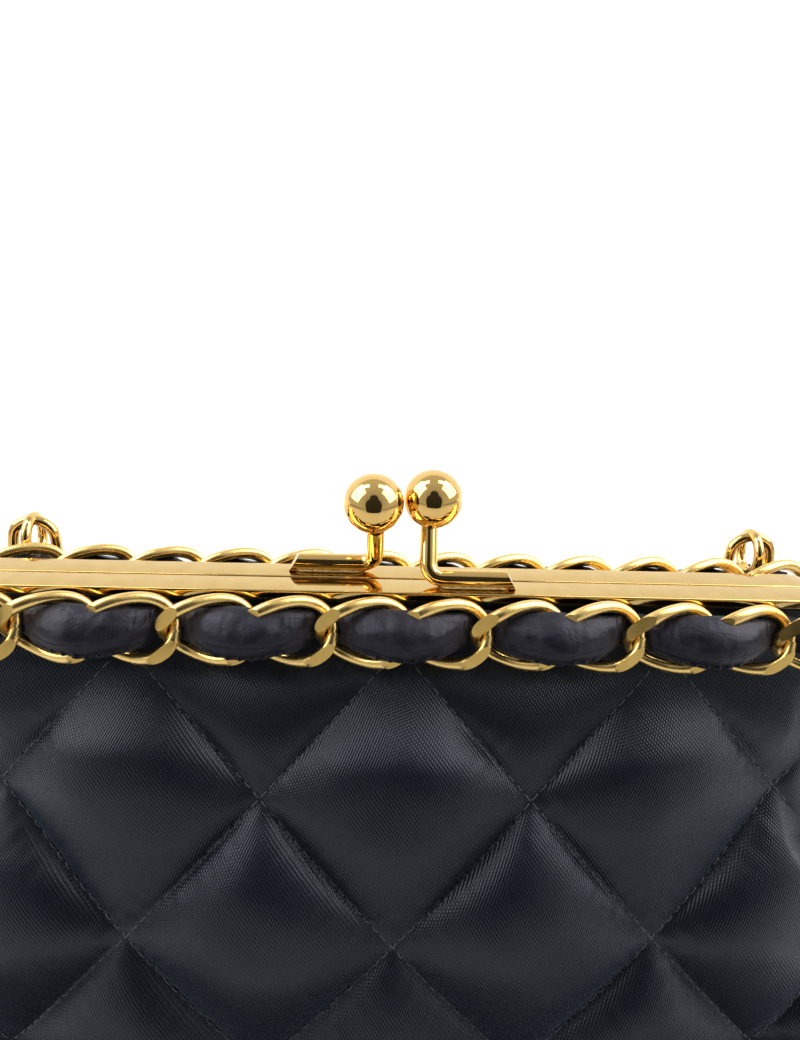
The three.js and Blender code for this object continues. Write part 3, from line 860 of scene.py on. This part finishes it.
def weave_shape(pitch, word):
    """The strip threaded through the chain: a pillow before each second joint, nipped behind the others."""
    columns, around = 620, 90
    stations = np.linspace(-WEAVE_REACH, WEAVE_REACH, columns)
    phases = abs((stations / pitch + 1) % 2 - 1)  # 0 in the middle of a lobe, 1 behind a joint
    edges = [eased(LOBE_AT, values, phases) for values in (
        LOBE_FRONT, LOBE_BACK, LOBE_UPPER[word], LOBE_LOWER[word],
    )]
    angles = round_angles(around)
    points, uv = [], []
    for x, away, front, back, upper, lower in zip(stations, phases, *edges):
        gather = smoothstep(away, 0.4, 0.8) * FOLD_DEEP
        full = 1 - smoothstep(away, 0.2, 0.85)
        # the widest part of the section lies towards its back, so that its face is a full pillow
        widest = back + 0.30 * (front - back)
        for a in angles:
            w = np.sign(math.cos(a)) * abs(math.cos(a)) ** 0.95
            h = np.sign(math.sin(a)) * abs(math.sin(a)) ** 0.92
            z = h * (upper if h > 0 else lower)
            y = widest - w * ((widest - front) if w > 0 else (back - widest))
            y += EDGE_CURL * full * abs(h) ** 2.4  # the strip's edges curl back between the wires
            # the seam that closes the strip runs low along its face, with small puckers beside it
            seam = SEAM_DEEP * math.exp(-((h + 0.55) / 0.07) ** 2)
            beside = PUCKER_DEEP * math.exp(-((h + 0.70) / 0.13) ** 2)
            y += max(w, 0) * full * (seam + beside * math.sin(x * 3.3 + 2 * bump_at(x, 0, 0)))
            folds = bump_at(x * 1.35, h * 1.1, 2) + 0.6 * bump_at(x * 2.7, h * 2, 7)
            dents = bump_at(x * 0.22, h * 1.5, 5) + 0.4 * bump_at(x * 0.5, h * 3.2, 9)
            y += (folds * gather + dents * DENT_DEEP) * (1 if w > 0 else 0.3)
            edge = bump_at(x * 0.24, 4, np.sign(h) * 3) * EDGE_WANDER
            points.append((x, y, z + edge * abs(h)))
            uv.append((x, a * SECTION_RADIUS))
    faces = grid_faces(columns, around, wrap_columns=True) + end_caps(around, len(points))
    return np.array(points), faces, np.array(uv)


def make_chain(word):
    """One chain trim and its leather strip."""
    chain = CHAINS[word]
    facing, pitch, z = chain["facing"], chain["pitch"], chain["z"]
    body = "front_half" if facing < 0 else "rear_half"
    turn = np.array([1, 1, 1]) if facing < 0 else np.array([-1, -1, 1])
    shape, faces, marks = link_shape()
    for i in range(LINK_COUNT):
        place = np.array([chain["shift"] + pitch * (i - (LINK_COUNT - 1) / 2), facing * CHAIN_Y, z])
        name = f"chain_link_{word}_{i + 1:02d}"
        wobble = Euler((0.03 * math.sin(i * 2.1), 0.02 * math.sin(i * 1.3 + 1), 0)).to_matrix()
        points = (shape @ np.array(wobble).T) * turn + place
        # the ground flats take the darker gold: painted darker reflection
        piece = solid(f"{name}_ground", (points, faces), GOLD_CHAIN, GOLD_CUT_PAINTED_DARK, sharp=28, marks=marks)
        dress(piece, body, "gold_metal", name)
    points, faces, uv = weave_shape(pitch, word)
    points = points * turn + (chain["shift"], facing * CHAIN_Y, z)
    strip = solid(f"leather_weave_{word}_strip", (points, faces, uv), LEATHER)
    dress(strip, body, "lambskin", f"leather_weave_{word}")


make_chain("front")
make_chain("rear")

# ---------------------------------------------------------------- the body's shape, read from the frame
def body_rows():
    """Height, half depth in the middle and at the sides, and half width, at each ring of the rear panel."""
    points = np.vstack([node_points("rear_panel"), node_points("base_panel")])
    rows = []
    for z in sorted(set(np.round(points[:, 2], 1))):
        ring = points[abs(points[:, 2] - z) < 0.06]
        half = ring[:, 0].max()
        middle = ring[abs(ring[:, 0]) < 0.6][:, 1].max()
        side = ring[ring[:, 0] > half - 0.6][:, 1].max()
        rows.append((z, middle, side, half))
    # without the step where the base panel meets the others
    return np.array([row for row in rows if not 2 < row[0] < 4])


BODY = body_rows()
PANEL_TOP = BODY[-1][0]
FINE_Z = np.arange(-2, PANEL_TOP + 2.01, 0.25)


BODY_CURVES = [softened(np.interp(FINE_Z, BODY[:, 0], column), 24, 8) for column in BODY.T[1:]]


def body_at(z):
    """Half depth in the middle, half depth at the sides, and half width, as smooth curves over height."""
    return (np.interp(z, FINE_Z, curve) for curve in BODY_CURVES)


def surface(across, z):
    """Half width position and half depth of the body where across runs from -1 to 1."""
    middle, side, half = body_at(z)
    return across * half, side + (middle - side) * (1 - across ** 2)


# ---------------------------------------------------------------- quilting
QUILT_WIDE, QUILT_TALL = 44.0, 49.0  # between two crossings, along X and along the cloth
CROSSING_Z = FRAME_TOP - 10.2  # the top crossing in the middle of the purse
PAD_RISE, PAD_SINK = 5.8, 0.9  # of a pad's middle out of its seams, and of the seams below the panel's face
PAD_SAG, PAD_CREASE, PAD_GATHER = 0.16, 0.20, 0.04  # unevenness of the rise, small dents, gathers
SEAM_SPACING = 1 / math.hypot(1 / QUILT_WIDE, 1 / QUILT_TALL)
PANEL_THICK, PANEL_FOOT = 2.6, 3.2


class Cloth:
    """A panel's outer cloth as a grid: X, depth and height, and its own flat coordinates."""

    def __init__(self, bottom, top, columns, rows):
        z = np.linspace(bottom, top, 4 * rows)
        middle, _, _ = body_at(z)
        steps = np.hypot(np.diff(z), np.diff(middle))
        length = np.concatenate([[0], np.cumsum(steps)])
        even = np.interp(np.linspace(0, length[-1], rows), length, z)
        across = np.linspace(-1, 1, columns)
        self.across, self.z = np.meshgrid(across, even)
        self.x, self.depth = surface(self.across, self.z)
        # cloth length from the top crossing down each column
        fall = np.hypot(np.diff(self.z, axis=0), np.diff(self.depth, axis=0))
        run = np.vstack([np.zeros(columns), np.cumsum(fall, axis=0)])
        at_crossing = np.array([
            np.interp(CROSSING_Z, self.z[:, j], run[:, j]) for j in range(columns)
        ])
        self.s = at_crossing[None, :] - run
        self.shape = self.x.shape
        self.points = np.stack([self.x, self.depth, self.z], -1)
        n = np.cross(np.gradient(self.points, axis=0), np.gradient(self.points, axis=1))
        n /= np.linalg.norm(n, axis=-1)[..., None]
        n[n[..., 1] < 0] *= -1
        self.normals = n

    def raised(self, offset):
        """The grid's points, moved outwards."""
        return self.points + self.normals * offset[..., None]


def pad_height(x, s):
    """How far the cloth stands out of its seams: a tight pillow in each diamond, and its gathers."""
    p, q = x / QUILT_WIDE + s / QUILT_TALL, x / QUILT_WIDE - s / QUILT_TALL  # whole numbers on the seams
    dp = abs(p - np.round(p)) * SEAM_SPACING
    dq = abs(q - np.round(q)) * SEAM_SPACING

    def swell(upwards):
        """Across a pad from its lower seam (0) to its upper (1); the filling has sunk a little."""
        low, high = np.clip(upwards / 0.44, 0, 1), np.clip((1 - upwards) / 0.56, 0, 1)
        return np.minimum((1 - (1 - low) ** 2.6) ** 0.70, (1 - (1 - high) ** 1.9) ** 0.74)

    base = swell(p - np.floor(p)) * swell(1 - (q - np.floor(q)))
    # gathers run away from each seam; their places follow the stitches and wander
    gathers = np.zeros_like(base)
    for along, across, phase, seed in ((q, dp, np.round(p), 1.7), (p, dq, np.round(q), 4.1)):
        run = along * SEAM_SPACING
        wander = np.sin(phase * 5.3 + run * 0.11 + seed) * 2.2
        ripple = (
            np.sin(run * 1.45 + wander + across * 0.10)
            + 0.7 * np.sin(run * 2.3 + phase * 3.1 + seed * 2 - across * 0.16)
            + 0.5 * np.sin(run * 0.83 + phase * 1.9 + seed)
        )
        gathers += ripple * np.exp(-((across - 0.9) / 3.6) ** 2) * np.clip(across / 0.7, 0, 1)
    return base, gathers


def quilt_offset(cloth):
    """The whole displacement of a panel's cloth, outwards."""
    base, gathers = pad_height(cloth.x, cloth.s)
    flat = np.stack([cloth.x.ravel() * 0.045, cloth.s.ravel() * 0.045, np.zeros(cloth.x.size)], 1)
    sag = noise_at(flat, 1.0, 8.0).reshape(cloth.shape)
    small = noise_at(flat, 3.1, 2.0).reshape(cloth.shape)
    rise = PAD_RISE * base * (1 + PAD_SAG * sag)
    lift = -PAD_SINK + rise + PAD_GATHER * gathers + PAD_CREASE * small * base
    # flat where the frame and the chain hold it, and where the side seams and the base seam are
    free = 1 - smoothstep(cloth.z, FRAME_TOP - 27, FRAME_TOP - 12.5)
    free *= smoothstep(cloth.z, 2.5, 12)
    edge = 1 - smoothstep(abs(cloth.across), 0.90, 0.995)
    return lift * free * edge


def shell(cloth, offset, facing, thick):
    """The panel as a closed sheet: its outer face raised by offset, and its inner face this far behind."""
    inner = cloth.points - cloth.normals * thick
    inner[..., 2] = np.clip(inner[..., 2], cloth.z.min(), cloth.z.max())
    turn = (1, facing, 1)
    return two_sided(cloth.raised(offset) * turn, inner * turn, cloth.x, cloth.s)


def dress_side(facing, piece, slot, *nodes):
    """Soft things: the rear rides on the rear half, which stands still; the front is baked where it is."""
    if facing > 0:
        dress(piece, "rear_half", slot, *nodes)
        return
    if nodes:
        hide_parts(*nodes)
    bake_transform(piece)


STITCH_PITCH, STITCH_LONG, STITCH_RADII = 2.1, 1.35, (0.13, 0.16, 0.13)
STITCH_LIFT = (-0.08, 0.12, -0.08)  # both ends dip into the cloth


def bilinear(field, rows_at, columns_at):
    """A grid's value between its points."""
    i, j = int(rows_at), int(columns_at)
    a, b = rows_at - i, columns_at - j
    return (field[i, j] * (1 - a) * (1 - b) + field[i + 1, j] * a * (1 - b)
            + field[i, j + 1] * (1 - a) * b + field[i + 1, j + 1] * a * b)


def stitch_mesh(cloth, offset, facing):
    """Short threads along every seam, each from one needle hole to the next."""
    rows, columns = cloth.shape
    face = cloth.raised(offset)

    def find(x, s):
        """Grid position of a point given by its X and cloth length."""
        i, j = rows / 2, (columns - 1) / 2
        for _ in range(3):
            j0 = int(np.clip(j, 0, columns - 2))
            i = np.interp(-s, -cloth.s[:, j0], np.arange(rows))
            i0 = int(np.clip(i, 0, rows - 2))
            j = np.interp(x, cloth.x[i0], np.arange(columns))
        return min(i, rows - 1.001), min(j, columns - 1.001)

    parts = []
    step, reach = STITCH_PITCH * SEAM_SPACING / QUILT_WIDE, STITCH_LONG / 2 * SEAM_SPACING
    for family in (1, -1):
        for k in range(-5, 6):
            for s in np.arange(cloth.s.min() + 1, cloth.s.max() - 1, step):
                x = (k - family * s / QUILT_TALL) * QUILT_WIDE
                if abs(x) > 78:
                    continue
                ds, dx = reach / QUILT_WIDE, -family * reach / QUILT_TALL
                spots = [find(x + t * dx, s + t * ds) for t in (-1, 0, 1)]
                sewn = 5 < bilinear(cloth.z, *spots[1]) < FRAME_TOP - 12
                if not sewn or abs(bilinear(cloth.across, *spots[1])) > 0.955:
                    continue
                line = [bilinear(face, *spot) + bilinear(cloth.normals, *spot) * lift
                        for spot, lift in zip(spots, STITCH_LIFT)]
                points, faces, uv = tube(line, STITCH_RADII, 6, round_ends=True)
                parts.append((points * (1, facing, 1), faces, uv))
    return merged(parts)


def make_panel(word, facing, *nodes):
    """One quilted panel, and its stitches."""
    columns, rows = ((290, 210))
    cloth = Cloth(PANEL_FOOT, PANEL_TOP - 0.15, columns, rows)
    offset = quilt_offset(cloth)
    piece = solid(f"{word}_quilted_satin", shell(cloth, offset, facing, PANEL_THICK - 0.2), SATIN)
    thread = solid(f"{word}_quilt_stitches", stitch_mesh(cloth, offset, facing), THREAD)
    dress_side(facing, piece, "quilted_satin", *nodes)
    dress_side(facing, thread, "quilted_satin")


make_panel("front", -1, "front_panel", "front_yoke")
make_panel("rear", 1, "rear_panel")

# ---------------------------------------------------------------- sides, base and inside
GUSSET_THICK, GUSSET_FOLD, PIPING_RADIUS, LINING_THICK = 1.6, 4.2, 1.05, 0.8
POCKET_REACH = 0.5  # of the panel's half width


def make_gusset(side, word):
    """The side panel folds softly inwards down its middle."""
    rows, columns = 90, 46
    z = np.linspace(3.4, HINGE_Z - EAR_RADIUS - 1.2, rows)
    across = np.linspace(-1, 1, columns)
    grid, height = np.meshgrid(across, z)
    _, edge, half = body_at(height)
    y = grid * (edge - PANEL_THICK * 0.55)
    fold = (1 - abs(grid)) ** 1.3 * smoothstep(height, 4, 30) * (0.6 + 0.4 * smoothstep(height, 50, 66))
    flat = np.stack([y.ravel() * 0.12, height.ravel() * 0.05, np.full(y.size, side * 9.0)], 1)
    crumple = noise_at(flat, 1.0, 1.0).reshape(y.shape) + 0.4 * noise_at(flat, 2.7, 5.0).reshape(y.shape)
    x = half - 0.5 - GUSSET_FOLD * fold + 0.55 * crumple * (1 - grid ** 4) * smoothstep(height, 3.4, 10)
    outer = np.stack([x * side, y, height], -1)
    inner = outer - np.array([side * GUSSET_THICK, 0, 0])
    piece = solid(f"gusset_{word}_satin", two_sided(outer, inner, y, height), SATIN)
    dress(piece, "rear_half", "quilted_satin", f"gusset_{word}")


def side_edge(side, facing, z):
    """Where a panel meets a gusset, at heights z."""
    across = np.full_like(z, side * 0.999)
    x, depth = surface(across, z)
    return np.stack([x, facing * (depth - 0.6), z], 1)


def make_piping():
    """A corded edge where each panel meets the gussets, and one round the base."""
    for facing, word in ((-1, "front"), (1, "rear")):
        parts = []
        for side in (-1, 1):
            edge = side_edge(side, facing, np.linspace(3.5, HINGE_Z - EAR_RADIUS - 1.4, 90))
            line, _ = even_steps(edge, 0.9)
            line[:, 0] -= side * 0.5
            parts.append(tube(line, PIPING_RADIUS, round_ends=True))
        dress_side(facing, make_object(f"side_piping_{word}", merged(parts), SATIN), "quilted_satin")
    ring = tube(base_outline(2.6, 0.45, 220), PIPING_RADIUS, closed=True)
    dress(make_object("base_piping", ring, SATIN), "rear_half", "quilted_satin")


def base_outline(z, inset, count):
    """The body's outline at a height, from the front left corner and round."""
    t = np.linspace(-1, 1, count // 2, endpoint=False)
    x, depth = surface(t, np.full_like(t, z))
    ring = np.concatenate([np.stack([x, -depth], 1), np.stack([-x, depth], 1)])
    corner = np.roll(ring, 3, 0) + np.roll(ring, -3, 0) + ring * 2
    ring = np.where(abs(ring[:, :1]) > x.max() - 4, corner / 4, ring)
    shrink = 1 - inset / np.array([x.max(), depth.max()])
    return np.column_stack([ring * shrink, np.full(len(ring), z)])


def make_base():
    """The bottom: a shallow cushion with rounded edges."""
    count = 200
    rings = [(3.0, 0.35), (2.3, 0.02), (1.2, 0.05), (0.45, 0.6), (0.12, 1.6), (0.05, 4.0), (0.05, 9.0)]
    points = np.vstack([base_outline(z, inset, count) for z, inset in rings])
    faces = grid_faces(len(rings), count, wrap_columns=True) + end_caps(count, len(points))
    piece = solid("base_satin", (points, faces, points[:, :2]), SATIN)
    dress(piece, "rear_half", "quilted_satin", "base_panel")


def lining_sheet(name, facing, bottom, top, reach, inset):
    """A thin sheet of lining inside a panel, with soft wrinkles."""
    rows, columns = 70, 90
    z = np.linspace(bottom, top, rows)
    across = np.linspace(-reach, reach, columns)
    grid, height = np.meshgrid(across, z)
    x, depth = surface(grid, height)
    flat = np.stack([x.ravel() * 0.05, height.ravel() * 0.03, np.full(x.size, facing * 4.0)], 1)
    ease = smoothstep(height, bottom, bottom + 8) * (1 - smoothstep(height, top - 6, top))
    wave = noise_at(flat, 1.0, 3.0).reshape(x.shape) * 0.35 * ease
    y = depth - inset - abs(wave)
    outer = np.stack([x, facing * y, height], -1)
    inner = np.stack([x, facing * (y - LINING_THICK), height], -1)
    piece = solid(f"{name}_cloth", two_sided(outer, inner, x, height), LINING)
    dress_side(facing, piece, "lining", name)


def make_inside():
    """The two linings, the pocket with its rolled hem, and the look of the board under them."""
    bottom = node_box("lining_rear")[0][2]
    lining_sheet("lining_rear", 1, bottom, node_box("lining_rear")[1][2], 0.92, 3.2)
    lining_sheet("lining_front", -1, bottom, node_box("lining_front")[1][2], 0.92, 3.2)
    low, high = node_box("inner_pocket")
    lining_sheet("inner_pocket", 1, low[2], high[2], POCKET_REACH, 4.6)
    height = np.full(80, high[2] - 0.6)
    x, depth = surface(np.linspace(-POCKET_REACH, POCKET_REACH, 80), height)
    hem = tube(np.stack([x, depth - 5.0, height], 1), 0.7, 10, round_ends=True)
    dress(make_object("inner_pocket_hem", hem, LINING), "rear_half", "lining")
    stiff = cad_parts["base_board"]
    stiff.data.materials.clear()
    stiff.data.materials.append(BOARD)


# ---------------------------------------------------------------- the handle's metal
BRACKET_ROD_Y, BRACKET_ROD_Z, BRACKET_HALF, BRACKET_WIRE = 15.5, FRAME_TOP + 2.8, 3.9, 0.95
BRACKET_TURN, BRACKET_LEAN = 0.2, 0.17  # radians
PLATE_AT, PLATE_TALL = (7.6, 88.5), 4  # depth and height of the sewn-on plate's middle, and half its height
SCREW_RADIUS, SCREW_RISE, SCREW_OUT = 0.9, 0.45, 4.3
RING_RADIUS, RING_WIRE, CUFF_RADIUS = 3.6, 0.9, 3.0


def make_bracket(side, word):
    """A wire loop on a small sewn-on plate behind the rear chain."""
    x = side * HANDLE_X

    def leg(dx):
        """One leg of the loop, from the plate up to the rod."""
        foot = PLATE_AT[0] - BRACKET_TURN * side * dx
        rise = [(foot, 89), (foot + 0.8, 93.5), (12.2, 98.6), (14.4, 103), (15, 107)]
        return [(x + dx, y, z) for y, z in rise]

    over = [
        (x + BRACKET_HALF * math.cos(a), BRACKET_ROD_Y, BRACKET_ROD_Z + BRACKET_HALF * (math.sin(a) - 1))
        for a in np.radians([150, 120, 90, 60, 30])
    ]
    line = spline([*leg(-BRACKET_HALF), *over, *reversed(leg(BRACKET_HALF))], 9)
    loop = tube(line, BRACKET_WIRE, 20, round_ends=True)
    wide, tall = BRACKET_HALF + 2, PLATE_TALL
    outline = rounded([(-wide, -tall), (wide, -tall), (wide, tall), (-wide, tall)], [1.4] * 4, 5)
    plate = [
        (u * (1 - inset / wide), depth, v * (1 - inset / tall))
        for depth, inset in ((-0.6, 0.2), (-0.42, 0), (0.42, 0), (0.6, 0.2)) for u, v in outline
    ]
    plate_faces = grid_faces(4, len(outline), wrap_columns=True) + end_caps(len(outline), len(plate))
    flat_parts = [(plate, plate_faces)]
    dome = [(SCREW_RADIUS * math.sin(a), SCREW_RISE * math.cos(a)) for a in np.linspace(0, math.pi / 2, 6)]
    screw, screw_faces = lathe([*dome, (SCREW_RADIUS, -0.3), (0, -0.3)], 20)
    for u in (-SCREW_OUT, SCREW_OUT):
        flat_parts.append((np.array(screw)[:, [1, 0, 2]] + (u, 0.75, 0), screw_faces))
    tip = np.array(Euler((BRACKET_LEAN, 0, -side * BRACKET_TURN)).to_matrix())
    tipped = [(np.array(points) @ tip.T + (x, *PLATE_AT), faces) for points, faces in flat_parts]
    piece = solid(f"handle_bracket_{word}_loop", merged([loop[:2], *tipped]), GOLD_BALL, sharp=40)
    dress(piece, "rear_half", "gold_metal", f"handle_bracket_{word}")


def make_ring(side, word):
    """A round ring, and the cuff that closes the strap's end round it."""
    low, high = node_box(f"handle_ring_{word}")
    # the ring hangs from the bracket's rod, so that it sits a little low while the handle is down
    centre = (low + high) / 2 - (0, 0, RING_RADIUS - RING_WIRE - BRACKET_WIRE)
    t = round_angles(64)
    line = centre + RING_RADIUS * np.stack([0 * t, np.cos(t), np.sin(t)], 1)
    ring = tube(line, RING_WIRE, 18, closed=True)
    # the strap's end is sewn round the ring's foot under a gold cuff
    foot = centre + (0, 0, -RING_RADIUS)
    path = strap_line()
    direction = path[6] - path[0] if side < 0 else path[-7] - path[-1]
    direction = direction / np.linalg.norm(direction)
    cuff_line = [foot + direction * d for d in (0.9, 1.2, 4.4, 4.7)]
    rim = CUFF_RADIUS - 0.25
    cuff = tube(cuff_line, [rim, CUFF_RADIUS, CUFF_RADIUS, rim], 28)
    piece = solid(f"handle_ring_{word}_wire", merged([ring[:2], cuff[:2]]), GOLD_BALL, sharp=45)
    dress(piece, "handle", "gold_metal", f"handle_ring_{word}")


for side, word in SIDES:
    make_gusset(side, word)
    make_bracket(side, word)
    make_ring(side, word)
make_piping()
make_base()
make_inside()

# ---------------------------------------------------------------- floor, backdrop and light
def make_stage():
    """One white sweep: a floor that curves up into a backdrop."""
    bend, behind, tall, wide = 500, 900, 2200, 3000
    curve = [
        (behind + bend * math.sin(a), bend * (1 - math.cos(a))) for a in np.linspace(0.1, math.pi / 2, 12)
    ]
    profile = [(-1600, 0), (behind, 0), *curve, (behind + bend, tall)]
    points = [(x, y, z) for y, z in profile for x in (-wide, wide)]
    sweep = make_object("studio_sweep", (points, grid_faces(len(profile), 2)), PAPER)


# the darker opening of the tent, where the photographer stands
DARK_RISE = math.radians(20)
DARK_TOWARDS = Vector((0, -math.cos(DARK_RISE), math.sin(DARK_RISE)))
# cosine of the angle from that opening, and the tent's brightness there
WORLD_STOPS = [(0.0, 0.62), (0.5, 0.56), (0.8, 0.47), (0.9, 0.36), (1.0, 0.3)]
# the photographer's outline, and a dark sheet on the floor round the purse: painted shadow of the purse, seen
# only in reflections
FIGURE = [
    (-190, -330), (190, -330), (205, -60), (170, 40), (110, 85), (92, 150), (52, 200), (-40, 205), (-86, 160),
    (-98, 90), (-165, 60), (-210, -30),
]
FIGURE_AWAY = 340
# painted shadow: a dark sheet standing in for the purse's shadow on the floor, seen only in reflections
PAINTED_SHADOW_SHEET = {"x": 110, "near": -62, "far": 30, "z": 1}


def reflected_only(name, points):
    """A flat dark shape of the studio that shows in reflections and does nothing else."""
    card = make_object(name, (points, [range(len(points))]), DARK_PAPER)
    card.visible_camera = card.visible_shadow = card.visible_diffuse = False


def make_dark_things():
    """The photographer, and the dark sheet of painted shadow on the floor round the purse."""
    middle = Vector((0, 0, FRAME_TOP + 10)) + DARK_TOWARDS * FIGURE_AWAY
    right, up = Vector((1, 0, 0)), Vector((0, math.sin(DARK_RISE), math.cos(DARK_RISE)))
    points = [middle + right * x + up * z for x, z in FIGURE]
    reflected_only("studio_figure", points)
    x, near, far, z = PAINTED_SHADOW_SHEET["x"], PAINTED_SHADOW_SHEET["near"], PAINTED_SHADOW_SHEET["far"], PAINTED_SHADOW_SHEET["z"]
    # the painted shadow sheet on the floor
    reflected_only("studio_painted_shadow", [(-x, near, z), (x, near, z), (x, far, z), (-x, far, z)])


def make_world():
    """A white tent with a dark opening towards the front, where the photographer would stand."""
    world = bpy.data.worlds.new("studio")
    scene.world = world
    tree = Tree(world)
    background = tree.nodes["Background"]
    background.inputs["Strength"].default_value = 1.0
    dot = tree.add("ShaderNodeVectorMath", operation="DOT_PRODUCT")
    dot.inputs[1].default_value = DARK_TOWARDS
    tree.link(tree.add("ShaderNodeTexCoord").outputs["Generated"], dot.inputs[0])
    shade = tree.ramp(dot.outputs["Value"], [(at, (shade,) * 3) for at, shade in WORLD_STOPS])
    tree.link(shade, background.inputs["Color"])


GLOW, GLOW_FROM, GLOW_FULL = 0.84, 50, 450  # the paper's own light, and where it starts and is full


def make_backdrop_paper():
    """White paper that glows evenly behind the purse, and is lit only by the softboxes round it."""
    paper = make_paper("studio_paper", 0.5)
    tree = Tree(paper)
    apart = tree.add("ShaderNodeSeparateXYZ")
    fade = tree.add(
        "ShaderNodeMapRange", interpolation_type="SMOOTHSTEP",
        From_Min=GLOW_FROM * MM, From_Max=GLOW_FULL * MM, To_Max=GLOW,
    )
    shader = tree.nodes["Principled BSDF"]
    shader.inputs["Emission Color"].default_value = (1, 1, 1, 1)
    tree.link(tree.add("ShaderNodeNewGeometry").outputs["Position"], apart.inputs[0])
    tree.link(apart.outputs["Y"], fade.inputs["Value"])
    tree.link(fade.outputs["Result"], shader.inputs["Emission Strength"])
    return paper


PAPER = make_backdrop_paper()
DARK_PAPER = make_paper("studio_dark", 0.02)


# each side's softboxes: name, place, aim, size in metres, power in watts
SOFT_BOXES = [
    ("strip", (330, 40, 652), (0, 0, 112), (0.12, 0.40), 1.2),
    ("window", (600, -60, 540), (0, 0, 90), (0.60, 0.62), 4.2),
]


def soft_box(name, place, aim, size, power):
    """A rectangular light; its size is in metres and its power in watts."""
    data = bpy.data.lights.new(name, "AREA")
    data.shape = "RECTANGLE"
    data.size, data.size_y = size
    data.energy = power
    light = bpy.data.objects.new(name, data)
    light.location = Vector(place) * MM
    light.rotation_euler = (Vector(aim) - Vector(place)).to_track_quat("-Z", "Y").to_euler()
    light.visible_camera = False
    scene.collection.objects.link(light)


make_stage()
make_dark_things()
make_world()
scene.view_settings.view_transform = "Standard"
for side, word in SIDES:
    for name, (x, y, z), *light in SOFT_BOXES:
        soft_box(f"{name}_{word}", (side * x, y, z), *light)
